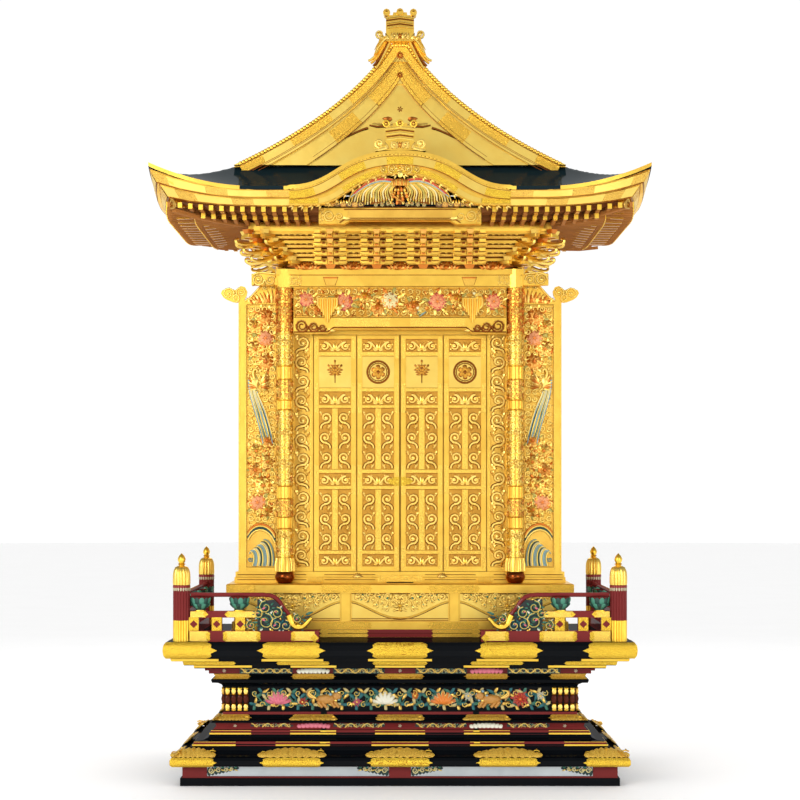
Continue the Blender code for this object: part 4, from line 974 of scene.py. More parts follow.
def make_columns():
    """Round columns: the front pair wound with gilt scrolls, the back pair plain."""
    for side, name in ((-1, "left"), (1, "right")):
        for end in ("front", "back"):
            bm = bmesh.new()
            turned(bm, column_profile(end == "front"), side * COLUMN_X,
                COLUMN_FRONT if end == "front" else COLUMN_BACK, 32)
            settle(f"column_{end}_{name}_shaft", bm, [PLAIN], replaces=(f"column_{end}_{name}",))
        relief = Relief(0.006, GOLD)
        reach = pi * COLUMN_R
        for z0, z1, kind in COLUMN_PARTS:
            if kind == "plain":
                for k in range(16):
                    x = reach * (k / 8 - 1)
                    relief.stem([(x, z0 + 0.005), (x, (z0 + z1) / 2), (x, z1 - 0.005)], 0.0022, PLAIN, 0.9)
                continue
            finish = {"carved": GOLD, "capital": RED_GOLD, "ring": BLUSH}[kind]
            carved_ground(relief, -reach, reach, z0 + 0.002, z1 - 0.002, 0.025, 0.0034, finish,
                round(z0 * 10))
            rows = max(1, round((z1 - z0) / 0.062))
            for row in range(rows):
                z = z0 + (z1 - z0) * (row + 0.5) / rows
                for k in range(3):
                    x = reach * (k / 1.5 - 0.667) + (0.0 if row % 2 else reach / 3)
                    x = x if x < reach else x - 2 * reach
                    petals = (BLUSH, GOLD)[(row + (kind == "ring")) % 2]
                    relief.flower(x, z, 0.019, 9, petals, GOLD, 2, 0.0062)
            for z in (z0 + 0.001, z1 - 0.001):
                relief.stem([(reach * t / 8, z) for t in range(-8, 9)], 0.002, GROUND, 1.0, 0.001)
        for k in range(22):
            x = reach * (k / 11 - 1)
            relief.stem([(x, 0.823), (x, 0.85), (x, 0.874)], 0.0036, PALE, 0.8)
        relief.close()
        for vertex in relief.bm.verts:
            flare = 0.006 * min(1.0, max(0.0, (0.88 - vertex.co.y) / 0.03))
            angle, r = vertex.co.x / COLUMN_R, column_radius(vertex.co.y) + vertex.co.z * 0.9 + flare
            vertex.co = (r * sin(angle), vertex.co.y, r * cos(angle))
        settle("column_carving_" + name, relief.bm, relief.finishes,
            moved(side * COLUMN_X, COLUMN_FRONT, 0) @ FRONT)
        bowl = bmesh.new()
        profile = [(0, 0.7736), (0.028, 0.7736), (0.029, 0.777), (0.0375, 0.788), (0.0405, 0.799),
            (0.0385, 0.81), (0.033, 0.8195), (0, 0.8195)]
        turned(bowl, resampled(profile, 20), side * COLUMN_X, COLUMN_FRONT, 32)
        settle("column_bowl_" + name, bowl, ["dark_bronze"],
            replaces=("column_foot_front_" + name,), smooth=60)


def make_beams():
    """The beams over the doors: spiral ends, a painted frieze of flowers and birds, drapes and recesses."""
    tie = Relief(0.006, GOLD)
    for side in (-1, 1):
        for x, y, r in ((0.392, 1.805, 0.026), (0.345, 1.8, 0.02), (0.309, 1.797, 0.013)):
            line = spiral(side * x, y, r, pi if side > 0 else 0, 1.9, side)
            # A painted shadow just under each spiral, then the spiral over it
            tie.stem([(px, py - 0.0016, 0.0002) for px, py in line], 0.0052, SHADOW, 0.6)
            tie.stem(line, 0.004, GOLD, 0.6, 0.0028)
            tie.put("leaf", GOLD, side * (x - 0.02), y - 0.01, (0.034, 0.016 * side, 0.005),
                pi if side > 0 else 0)
        # A painted shadow line at each end of the beam
        tie.stem([(side * 0.264, 1.7965), (side * 0.29, 1.7795), (side * 0.424, 1.778)], 0.003, SHADOW, 1.0)
        chased(tie, side * 0.15 - 0.11, 1.7985, side * 0.15 + 0.11, 1.834, 0.0)
    tie.rule(-0.266, 1.796, 0.266, 1.796, 0.003)
    tie.rule(-0.424, 1.8365, 0.424, 1.8365, 0.0014)
    tie.settle("tie_beam_carving", field("front", 0.2751))
    frieze = Relief(0.009, GOLD)
    frieze.ground(-0.424, 1.841, 0.424, 1.954, DEEP, 0.0006)
    carved_ground(frieze, -0.422, 0.422, 1.842, 1.953, 0.028, 0.004, GOLD)
    flowers = ((-0.375, 1.908, 0.034, ROSY), (-0.325, 1.866, 0.026, BLUSH), (-0.225, 1.9, 0.04, ROSY),
        (-0.14, 1.918, 0.028, PALE), (-0.09, 1.874, 0.03, BLUSH), (-0.04, 1.905, 0.042, CREAM),
        (0.055, 1.88, 0.032, BLUSH), (0.15, 1.9, 0.04, ROSY), (0.225, 1.912, 0.03, PALE),
        (0.275, 1.88, 0.03, BLUSH), (0.375, 1.9, 0.036, ROSY))
    for x, y, r, finish in flowers:
        for k in range(8):
            angle = tau * k / 8 + x * 9
            frieze.put("leaf", (GOLD, PALE, OLIVE, RED_GOLD)[k % 4], x + r * 0.75 * cos(angle),
                y + r * 0.6 * sin(angle), (r * 1.0, r * 0.45, 0.009), angle)
        peony(frieze, x, y, r, finish, ROSE if finish == ROSY else RED_GOLD, height=0.012)
    for x, y, flip in ((-0.262, 1.87, 1), (0.105, 1.862, -1), (0.33, 1.92, -1)):
        frieze.put("petal", GOLD, x, y, (0.036, 0.026, 0.018), 0.3 if flip > 0 else pi - 0.3, 0.01)
        frieze.put("bead", CREAM, x + flip * 0.034, y + 0.012, (0.007, 0.007, 0.008), z=0.016)
        for k in range(5):
            frieze.put("leaf", (SEA, GOLD)[k % 2], x, y, (0.036, 0.01, 0.01), (pi - 0.6 + k * 0.3) * flip,
                0.01)
    for k in range(44):
        x, y = -0.415 + 0.0193 * k, 1.85 + 0.0085 * ((k * 7) % 12)
        frieze.put("leaf", (BLUSH, GOLD, RED_GOLD)[k % 3], x, y, (0.022, 0.012, 0.011), k * 2.4, 0.003)
    frieze.settle("frieze_carving", field("front", 0.2661), slot="painted_carving")
    swags = Relief(0.008, PLAIN)
    for side in (-1, 1):
        for k in range(9):
            x = side * (0.252 + 0.0095 * k)
            fall = 1.872 - 0.014 * (4 - abs(k - 4))
            swags.stem([(x, 1.914, 0.002 * (k % 2)), (x, 1.885, 0.003),
                (side * (0.29 + (k - 4) * 0.0075), fall)], 0.0058, PLAIN if k % 2 else PALE, 0.8)
        swags.stem([(side * 0.25, 1.912), (side * 0.33, 1.912)], 0.005, GOLD, 1.0)
        swags.put("petal", PLAIN, side * 0.29, 1.832, (0.022, 0.018, 0.008), pi / 2)
    swags.settle("beam_swags", field("front", 0.279))
    head = Relief(0.004, GOLD)
    for z in (1.96, 2.0055, 2.0115):
        head.rule(-0.488, z, 0.488, z, 0.0013, 0.0002)
    for side in (-1, 1):
        # A painted shadow round each recess, a little larger than its gold ground
        head.put("cup", SHADOW, side * 0.277, 1.964, (0.062, 0.034, 0.0012))
        head.put("cup", GROUND, side * 0.277, 1.965, (0.056, 0.029, 0.0024))
        head.put("tablet", RED_GOLD, side * 0.277, 1.994, (0.054, 0.005, 0.003))
        carved_ground(head, side * 0.425 - 0.036, side * 0.425 + 0.036, 1.964, 2.004, 0.02, 0.0022, GOLD)
    head.settle("head_beam_fittings", field("front", 0.2982 - SHRINE_Y))
    noses = Relief(0.012, GOLD)
    for side in (-1, 1):
        noses.volute(side * 0.566, 1.989, 0.024, 0, side, 0.005, GOLD, 1.6, 2)
        noses.volute(side * 0.52, 1.987, 0.02, pi, -side, 0.0044, GOLD, 1.4, 3)
        noses.stem(bezier((side * 0.5, 2.01), (side * 0.54, 2.016), (side * 0.575, 2.022),
            (side * 0.59, 2.004), 6), 0.0044, GOLD, 0.6, 0.004)
    noses.settle("beam_nose_carving", field("front", 0.2681))


def lift_at(x, y):
    """How far the eave turns up at this place, from 0 to 1 at the corner."""
    along_x = max(0.0, (abs(x) - EAVE_X + SWEEP_LENGTH) / SWEEP_LENGTH)
    along_y = max(0.0, (abs(y) - EAVE_Y + SWEEP_LENGTH) / SWEEP_LENGTH)
    return (along_x * along_y) ** 2


TIER_LOW, TIER_PITCH, TIER_STEP = 2.047, 0.0317, 0.036


def lotus_spray(relief, x):
    """A carved flower between two leaves, which fills the gap between two bracket clusters."""
    for ring, (count, spread, reach) in enumerate(((7, 2.6, 1.0), (5, 1.9, 0.8), (3, 1.1, 0.56))):
        for k in range(count):
            angle = pi / 2 + spread * (k / (count - 1) - 0.5)
            relief.put("petal", (RED_GOLD, BLUSH, RED_GOLD)[ring], x, 2.027, (0.034 * reach, 0.014, 0.01),
                angle, 0.004 * ring)
    for hand in (-1, 1):
        for j in range(3):
            relief.put("leaf", (RED_GOLD, BLUSH)[j % 2], x + hand * (0.014 + 0.009 * j), 2.03,
                (0.028, 0.016 * hand, 0.012), (0.9 - 0.3 * j) if hand > 0 else pi - 0.9 + 0.3 * j)


# One tier of a bracket cluster: form, finish, distance to one side, height, size and depth
# The SHADOW blocks are painted shadow, under and behind the arms and blocks
TIER_MIDDLE = (
    ("block", PLAIN, 0, 0.0075, (0.132, 0.015, 0.019), -0.006),
    ("block", SHADOW, 0, -0.0012, (0.128, 0.0026, 0.019), -0.007),
    ("block", PLAIN, 0, 0.0085, (0.023, 0.017, 0.052), -0.03),
    ("block", SHADOW, 0, 0.0085, (0.027, 0.01, 0.05), -0.03),
    ("cup", BLUSH, 0, 0.0152, (0.028, 0.0165, 0.027), 0),
    ("block", RED_GOLD, 0, 0.0078, (0.015, 0.0085, 0.004), 0.02),
)
TIER_SIDE = (
    ("cup", PLAIN, 0.05, 0.0152, (0.029, 0.0165, 0.026), -0.01),
    ("block", SHADOW, 0.05, 0.015, (0.03, 0.0022, 0.026), -0.009),
    ("block", SHADOW, 0.026, 0.015, (0.013, 0.009, 0.008), 0.006),
)


def cluster(relief, x):
    """One bracket cluster seen from in front: four tiers of arms, each with three bearing blocks."""
    relief.put("cup", RED_GOLD, x, 2.0305, (0.044, 0.017, 0.046), z=-0.006)
    for k in range(4):
        z, out = TIER_LOW + k * TIER_PITCH, 0.022 + k * TIER_STEP
        for forms, sides in ((TIER_MIDDLE, (1,)), (TIER_SIDE, (-1, 1))):
            for side in sides:
                for kind, finish, along, rise, size, depth in forms:
                    relief.put(kind, finish, x + side * along, z + rise, size, z=out + depth)
        front = out + 0.012
        for side in (-1, 1):
            relief.stem(bezier((x + side * 0.03, z + 0.003, front), (x + side * 0.05, z - 0.001, front),
                (x + side * 0.06, z + 0.002, front), (x + side * 0.067, z + 0.01, front), 4), 0.003, PLAIN,
                0.8)


CORNERS = ((-1, -1), (1, -1), (1, 1), (-1, 1))


def corner_cluster(index, sx, sy):
    """The brackets on one corner: blocks set square across it, and the curled noses of its tail rafters."""
    relief = Relief(0.24, PLAIN)
    for k in range(4):
        z, out = TIER_LOW + k * TIER_PITCH, 0.04 + k * TIER_STEP * 1.35
        relief.put("block", PLAIN, 0, z + 0.0075, (0.03, 0.014, 0.07), z=out - 0.05)
        for x in (-0.058, 0.058):
            relief.put("block", PLAIN, x, z + 0.0075, (0.024, 0.014, 0.06), z=out - 0.075)
            relief.put("cup", PALE, x, z + 0.0152, (0.028, 0.0165, 0.028), z=out - 0.04)
        relief.put("cup", RED_GOLD, 0, z + 0.0152, (0.034, 0.0165, 0.03), z=out - 0.006)
    for x, turn in ((0.0, 0.0), (-0.075, 0.5), (0.075, -0.5)):
        for k, (reach, z) in enumerate(((0.125, 2.066), (0.165, 2.096), (0.205, 2.126))):
            reach *= 1.0 if x == 0 else 0.62
            line = bezier((x * 0.5, z + 0.028, 0.02), (x * 0.8, z + 0.008, reach * 0.6),
                (x, z - 0.02, reach), (x * 1.15, z - 0.01, reach + 0.045), 7)
            hook = bezier(line[-1], (x * 1.2, z - 0.002, reach + 0.062), (x * 1.15, z + 0.01, reach + 0.05),
                (x * 1.1, z + 0.006, reach + 0.038), 5)
            relief.stem(line + hook[1:], 0.0095, PALE, 0.45, 0.0)
    y = COLUMN_FRONT if sy < 0 else COLUMN_BACK
    relief.settle(f"brackets_corner_{index}", corner_place(index, sx * COLUMN_X, y, 0))


def make_brackets():
    """The bracket sets: a core of stepped boards, rows of bars, and clusters of arms and blocks."""
    halves = {"front": (COLUMN_X, 0.27), "back": (COLUMN_X, 0.27), "left": (0.27, COLUMN_X),
        "right": (0.27, COLUMN_X)}
    spots = {"front": (-0.2772, -0.0924, 0.0924, 0.2772), "back": (-0.2772, -0.0924, 0.0924, 0.2772),
        "left": (-0.09, 0.09), "right": (-0.09, 0.09)}
    for side, (long, out) in halves.items():
        relief = Relief(0.04, PLAIN)
        # Painted shadow: a dark core behind the bars, and dark strips along and behind each tier
        relief.put("block", SHADOW, 0, 2.118, (long * 2 - 0.02, 0.172, 0.022), z=-0.03)
        for k in range(4):
            z, step = TIER_LOW + k * TIER_PITCH, k * TIER_STEP
            relief.put("block", PLAIN, 0, z + 0.0215, (2 * (long + step) + 0.01, 0.012, 0.012), z=step)
            relief.put("block", SHADOW, 0, z + 0.0285, (2 * (long + step), 0.0025, 0.012), z=step - 0.001)
            relief.put("block", GROUND, 0, z + 0.0055, (2 * (long + step) - 0.012, 0.011, 0.012),
                z=step - 0.014)
            relief.put("block", SHADOW, 0, z + 0.013, (2 * (long + step), 0.026, 0.006), z=step - 0.022)
            for j in range(round(long * 2 / 0.0231) + 1):
                x = -long + j * 0.0231
                relief.put("cup", GROUND if j % 2 else PLAIN, x, z + 0.013, (0.013, 0.012, 0.016),
                    z=step - 0.006)
        for x in spots[side]:
            cluster(relief, x)
        relief.put("block", PLAIN, 0, 2.1868, (2 * (long + 0.136), 0.036, 0.02), z=0.115)
        relief.settle("brackets_" + side, field(side, out, 0, SHRINE_Y),
            replaces=("bracket_set",) if side == "front" else ())
        if side in ("front", "back"):
            sprays = Relief(0.012, RED_GOLD)
            for x in (-0.37, -0.185, 0, 0.185, 0.37):
                lotus_spray(sprays, x)
            sprays.settle("bracket_sprays_" + side, field(side, out + 0.034, 0, SHRINE_Y))
    for index, (sx, sy) in enumerate(CORNERS):
        corner_cluster(index, sx, sy)


def eave_section(turn):
    """Inset and height of the fascia's corners where the eave has turned up this far."""
    foot = 0.036 + 0.036 * turn
    top = EAVE_TOP + (CORNER_RISE - 0.01) * turn - SHELL - 0.0003
    low = 2.2264 + 0.4 * CORNER_RISE * turn
    middle = (top + low) / 2
    return [(0.004, top), (0.01 + 0.3 * foot * turn, middle), (0.45 * foot + 0.006, middle), (foot, low)]


def along_eave(side, along, row, part, lift):
    """A point of the fascia: how far along a side, and how far down its upper or lower board."""
    across, half, out = run_of(side, EAVE_HALF)
    x, y = (along, out) if across else (out, along)
    section = eave_section(lift_at(x, y))
    (i0, z0), (i1, z1) = section[row * 2], section[row * 2 + 1]
    inset, z = i0 + (i1 - i0) * part - lift, z0 + (z1 - z0) * part
    reach = along * (half - inset) / half
    return spun(SIDES[side]) @ Vector((reach, -(out - inset), z))


def underside(tree, x, y):
    """The height of the eave's underside at this place, or nothing past its edge."""
    hit = tree.ray_cast(Vector((x, y, 1.9)), Vector((0, 0, 1)))[0]
    return hit.z if hit else None


def make_ribs(side, sizes):
    """Rafters seen from below: ribs under the boards of one side of the eave, gilt and brown by turns."""
    soffit = BVHTree.FromObject(NODES["eave_soffit"], bpy.context.evaluated_depsgraph_get())
    across, half, out = run_of(side, EAVE_HALF)
    inner = 0.325 if across else 0.557
    bm = bmesh.new()
    turn = spun(SIDES[side])
    count = int((half - 0.1) / sizes.rafter_pitch)
    for k in range(-count, count + 1):
        a = k * sizes.rafter_pitch
        if side == "front" and abs(a) < 0.325:
            continue
        lift = lift_at(a, out) if across else lift_at(out, a)
        step = inner + 0.7 * (out - 0.036 - 0.036 * lift - 0.03 - inner)
        hip = out - (half - abs(a)) + 0.01
        for near, far in ((max(step + 0.012, hip), out - 0.036 - 0.036 * lift - 0.04),
                (max(inner, hip), step - 0.012)):
            if far - near < 0.02:
                continue
            line = []
            for i in range(6):
                x, y, _ = turn @ Vector((a, -(near + (far - near) * i / 5), 0))
                height = underside(soffit, x, y)
                if height:
                    line.append((near + (far - near) * i / 5, height))
            for i0 in range(len(line) - 1):
                pair = line[i0:i0 + 2]

                def where(i, j):
                    reach, z = pair[i]
                    return turn @ Vector((a + (j - 0.5) * sizes.rafter * 0.8, -reach, z - 0.0085))
                sheet(bm, 2, 2, where, -0.0085, k % 2)
    settle("eave_ribs_" + side, bm, ["rafter_lacquer", DEEP], smooth=20)


def make_rafters(sizes):
    """Two rows of rafters round the eaves, with gilt ends, and a curled nose at each hip."""
    pitch, size = sizes.rafter_pitch, sizes.rafter
    for side in SIDES:
        across, half, out = run_of(side, EAVE_HALF)
        inner = 0.32 if across else 0.552
        bm = bmesh.new()
        count = int((half - 0.05) / pitch)
        turn = spun(SIDES[side])
        for k in range(-count, count + 1):
            a = k * pitch
            if side == "front" and abs(a) < 0.325:
                continue
            lift = lift_at(a, out) if across else lift_at(out, a)
            foot = 0.036 + 0.036 * lift
            hip = out - (half - abs(a)) + 0.004
            steps = inner + 0.7 * (out - foot - 0.03 - inner)
            rows = ((out - foot - 0.004, max(steps - 0.004, hip), 2.2262 + 0.036 * lift, 0.0),
                (steps + 0.016, max(inner + 0.01, hip), 2.2096 + 0.0252 * lift, 0.006))
            for first, last, top, fall in rows:
                if first - last < 0.012:
                    continue
                tilt = spun(-fall / max(0.05, first - last), "X")
                place = turn @ moved(a, -(first + last) / 2, top - size * 0.55) @ tilt
                bmesh.ops.create_cube(bm, size=1, matrix=place @ sized(size * 0.72, first - last, size))
                cap = turn @ moved(a, -first - 0.0006, top - size * 0.55)
                tip = bmesh.ops.create_cube(bm, size=1, matrix=cap @ sized(size * 0.86, 0.003, size * 1.02))
                paint(tip["verts"], 1)
        settle("rafters_" + side, bm, ["rafter_lacquer", GILT], smooth=20)
        make_ribs(side, sizes)
    for index, (sx, sy) in enumerate(CORNERS):
        bm = bmesh.new()
        verts = []
        for t in (0.0, 0.2, 0.4, 0.6, 0.78):
            x, y = 0.552 + (EAVE_X - 0.552) * t, 0.32 + (EAVE_Y - 0.32) * t
            verts.append((sx * x, sy * y, 2.196 + 0.012 * t + 0.052 * lift_at(x, y)))

        def where(i, j):
            x, y, z = verts[i]
            shift = (j - 0.5) * 0.022
            return Vector((x - sx * shift * 0.7, y + sy * shift * 0.7, z))
        sheet(bm, len(verts), 2, where, 0.014)
        settle(f"hip_rafter_{index}", bm, ["rafter_lacquer"])
        nose = Relief(0.02, GOLD)
        for hand in (-1, 1):
            nose.volute(hand * 0.006, 0.0, 0.02, pi / 2, hand, 0.0056, GOLD, 1.5, 0)
        nose.put("block", PLAIN, 0, 0.004, (0.02, 0.026, 0.06), z=-0.065)
        nose.settle(f"hip_nose_{index}", corner_place(index, sx * 0.868, sy * 0.64,
            2.241 if sy < 0 else 2.256))


def make_eaves(sizes):
    """The eave's two boards with their alternate chased and plain sheets, and two rows of rafters below."""
    for side in SIDES:
        bm = bmesh.new()
        half = run_of(side, EAVE_HALF)[1]
        start = WAVE_END + 0.004 if side == "front" else 0.002
        for mirror in (-1, 1):
            for row in (0, 1):
                stops = [start]
                while stops[-1] < half - 0.04:
                    length = (0.15, 0.085)[(len(stops) + row) % 2]
                    stops.append(min(half, stops[-1] + length))
                for k, (a, b) in enumerate(zip(stops, stops[1:])):
                    finish = (k + row) % 2
                    lift = 0.0014 if finish == 0 else 0.0009

                    def where(i, j):
                        return along_eave(side, mirror * (a + (b - a) * i / 4), row, 0.13 + 0.72 * j, lift)
                    sheet(bm, 5, 2, where, 0.0008, finish)
                # Painted shadow lines along each board: one near its top and two near its foot
                for part in (0.015, 0.9, 0.955):
                    def line(i, j):
                        along = start + (half - start) * i / 24
                        return along_eave(side, mirror * along, row, part + 0.035 * j, 0.0006)
                    sheet(bm, 25, 2, line, 0.0004, 2)
        settle("eave_boards_" + side, bm, [CHASED, PALE, SHADOW])
    make_rafters(sizes)


SLOPE = bezier((0.035, 2.89), (0.24, 2.56), (0.76, 2.36), (EAVE_X, EAVE_TOP), 24)
WAVE_TOP = bezier((0, 2.4345), (0.24, 2.4345), (0.24, 2.305), (WAVE_END, 2.303), 24)
WAVE_LOW = bezier((0, 2.345), (0.17, 2.35), (0.205, 2.23), (0.32, 2.2264), 20) + [(WAVE_END, 2.2264)]


def mirrored(line):
    """A line drawn from the middle out, with its mirror image before it."""
    return [(-x, y) for x, y in reversed(line)] + [point for point in line if point[0] > 1e-6]


def held_side(line, moved):
    """A moved line whose points stay on their own side of the middle."""
    found = []
    for (x, _), (moved_x, y) in zip(line, moved):
        if abs(x) > 1e-6 and x * moved_x < 0:
            moved_x = 0.0
        found.append((moved_x, y))
    return found


def ribbon(relief, line, near, far, z, thick, finish, first=0.0, last=1.0):
    """A flat strip that follows a line, between two distances from it."""
    count = max(2, round(len(line) * 2 * (last - first)))
    fine = resampled(line, 121)
    part = fine[round(first * 120):round(last * 120) + 1]
    part = resampled(part, count)
    edges = [held_side(part, offset(part, near)), held_side(part, offset(part, far))]
    index = relief.number(finish)

    def where(i, j):
        x, y = edges[1 - j][i]
        return (x, y, z + thick)
    sheet(relief.bm, len(part), 2, where, thick, index)


def banded(relief, line, stops, kinds, z=0.0):
    """Flat sheets end to end along a line, two kinds by turns, each a (near, far, thickness, finish)."""
    for k, (first, last) in enumerate(zip(stops, stops[1:])):
        near, far, thick, finish = kinds[k % 2]
        ribbon(relief, line, near, far, z, thick, finish, first, last)


def rope(relief, line, pitch, radius, z, finish):
    """A row of ribs along a line, like the twist of a rope."""
    length = sum(sqrt((b[0] - a[0]) ** 2 + (b[1] - a[1]) ** 2) for a, b in zip(line, line[1:]))
    fine = resampled(line, max(3, round(length / pitch)))
    for (x, y), (nx, ny) in zip(fine, fine[1:]):
        turn = Vector((nx - x, ny - y)).angle_signed(Vector((1, 0)))
        relief.put("bead", finish, (x + nx) / 2, (y + ny) / 2, (pitch * 0.56, radius * 1.2, radius * 0.9),
            turn - 0.9, z)


def carve_bird():
    """The long-winged bird among clouds and flowers that fills the wave's opening."""
    bird = Relief(0.014, GOLD)
    bird.ground(-0.19, 2.229, 0.19, 2.3, "black_lacquer", 0.0005)
    outer = (GOLD, PALE, CREAM, GOLD, OLIVE)
    for side in (-1, 1):
        for row, (reach, count, lift) in enumerate(((0.196, 16, 0.004), (0.152, 13, 0.009),
                (0.108, 10, 0.013))):
            for k in range(count):
                t = k / (count - 1)
                root = (side * (0.118 - 0.1 * t) * reach / 0.196, 2.322 - 0.006 * t)
                tip = (side * (reach * (1 - 0.8 * t)), 2.262 - 0.026 * sin(pi * min(1.0, 0.25 + 0.55 * t))
                    + 0.009 * row)
                bend = (side * (abs(tip[0]) * 0.65 + abs(root[0]) * 0.35 + 0.018), (root[1] + tip[1]) / 2)
                line = bezier(root, bend, bend, tip, 6)
                bird.stem(line, 0.0062 - 0.0006 * row, outer[(k + row) % 5], 0.55, lift, 0.6)
                # A painted shadow line beside every other feather
                if k % 2:
                    bird.stem([(x + 0.0022, y) for x, y in line[1:]], 0.0016, SHADOW, 0.6, lift + 0.002)
        for rise, finish, width in ((0.013, GOLD, 0.004), (0.007, ROSE, 0.0066), (0.0, CREAM, 0.0034),
                (-0.005, BLUE_GREY, 0.0044), (-0.01, PALE, 0.004)):
            arm = bezier((side * 0.028, 2.322 + rise * 0.6), (side * 0.075, 2.334 + rise * 0.7),
                (side * 0.12, 2.324 + rise), (side * (0.182 - rise), 2.268 + rise), 9)
            bird.stem(arm, width, finish, 0.6, 0.018)
        for x, y in ((0.046, 2.24), (0.068, 2.237), (0.028, 2.238), (0.092, 2.236)):
            bird.flower(side * x, y, 0.01, 7, (GOLD, CREAM)[round(x * 100) % 2], ORANGE, 2, 0.018)
        for k in range(7):
            bird.put("bead", ("brown_pigment", "tan_pigment")[k % 2], side * (0.15 + 0.022 * k), 2.236,
                (0.016, 0.013 - 0.001 * k, 0.012), z=0.006)
            bird.stem(spiral(side * (0.15 + 0.022 * k), 2.237, 0.008, k, 1.2, side), 0.002, GOLD, 0.6, 0.017)
            bird.put("leaf", GOLD, side * (0.196 + 0.015 * k), 2.234, (0.024, 0.011 * side, 0.01),
                pi / 2 + side * 0.3 * (k - 2), 0.01)
    for row in range(5):
        for k in range(4):
            x = 0.01 * (k - 1.5) * (1 + 0.25 * row)
            bird.put("petal", (GOLD, PALE, ORANGE)[(row + k) % 3], x, 2.302 - 0.012 * row,
                (0.02, 0.012, 0.012), -pi / 2 + x * 12, 0.016)
    bird.stem(bezier((-0.034, 2.276, 0.024), (-0.02, 2.262, 0.024), (-0.004, 2.248, 0.024),
        (0.018, 2.242, 0.024), 6), 0.0044, BLUSH, 0.5)
    for k in range(9):
        bird.stem([(0.0072 * (k - 4), 2.306, 0.024), (0.0074 * (k - 4), 2.32, 0.026),
            (0.008 * (k - 4), 2.3315 - 0.0004 * (k - 4) ** 2, 0.024)], 0.0044, (PALE, BLUSH)[k % 2], 0.8)
    bird.settle("bird_carving", field("front", 0.656), slot="painted_carving")


def dress_ornament(name, low, height, droop, out, width, flat=1.0):
    """A ridge-end block's finer work: dark scroll ends, chevron mouldings, a rosette and curled fins."""
    work = Relief(0.008, GOLD)
    half, body = width / 2, low + height - 0.034
    for x, up in ((-half, 0.018), (0, 0.02), (half, 0.018)):
        work.stem([(x + 0.0108 * cos(tau * i / 16), body + up + 0.0108 * sin(tau * i / 16))
            for i in range(17)], 0.003, GILT, 1.0, 0.0045)
        # Painted shadow in the end of each scroll, with short dark lines across it and a dark stem below it
        work.put("bead", SHADOW, x, body + up, (0.0092, 0.0092, 0.003), z=0.0036)
        work.put("bead", GILT, x, body + up, (0.0038, 0.0038, 0.003), z=0.006)
        for k in range(3):
            angle = pi * (0.25 + 0.25 * k)
            work.stem([(x, body + up), (x + 0.01 * cos(angle), body + up + 0.01 * sin(angle))], 0.0016,
                SHADOW, 0.8, 0.0075)
        work.stem([(x - 0.003, body + up - 0.012), (x, body + 0.002)], 0.004, SHADOW, 0.8, 0.0)
        work.stem([(x + 0.004, body + up - 0.012), (x + 0.004, body + 0.002)], 0.003, GOLD, 0.8, 0.001)
    for k, wide in enumerate((1.1, 1.04, 0.98, 0.98, 1.00)):
        z = body + 0.001 - 0.01 * k
        work.stem([(-half * wide, z - 0.004), (0, z + 0.003), (half * wide, z - 0.004)], 0.003,
            (PALE, SHADOW)[k % 2], 1.0)
    for side in (-1, 1):
        work.volute(side * half * 1.5, low + 0.026, 0.0165, -pi / 2, side, 0.0046, GOLD, 1.2, 0)
        work.volute(side * half * 0.4, low + 0.022, 0.012, -pi / 2, side, 0.0034, GOLD, 1.3, 2)
        work.stem(bezier((side * half, low + 0.01), (side * half * 1.2, low + 0.004),
            (side * half * 1.6, low - droop * 0.4), (side * half * 1.8, low - droop), 7), 0.0056, GOLD, 0.4)
        work.stem(bezier((side * half, low + 0.018), (side * half * 1.3, low + 0.016),
            (side * half * 1.7, low + 0.004 - droop * 0.3), (side * half * 1.9, low + 0.01 - droop), 7),
            0.0036, PLAIN, 0.4)
        for k in range(4 if droop else 0):
            work.stem(bezier((side * (0.034 + 0.008 * k), low + 0.012),
                (side * (0.05 + 0.009 * k), low - 0.02), (side * (0.07 + 0.009 * k), low - 0.066),
                (side * (0.094 + 0.01 * k), low - 0.1 + 0.01 * k), 7), 0.007,
                (PALE, SHADOW, PLAIN, PALE)[k], 0.7, -0.036 - 0.004 * (k == 1))
        for k in range(4):
            work.put("leaf", GOLD, side * half * (0.25 + 0.3 * k), low + 0.004, (0.03, 0.016 * side, 0.006),
                pi / 2 - side * 0.3 * k)
    work.flower(0, low + 0.02, 0.013, 8, RED_GOLD, GILT, 2, 0.004)
    work.settle(name, field("front", out) @ sized(1, 1, flat))


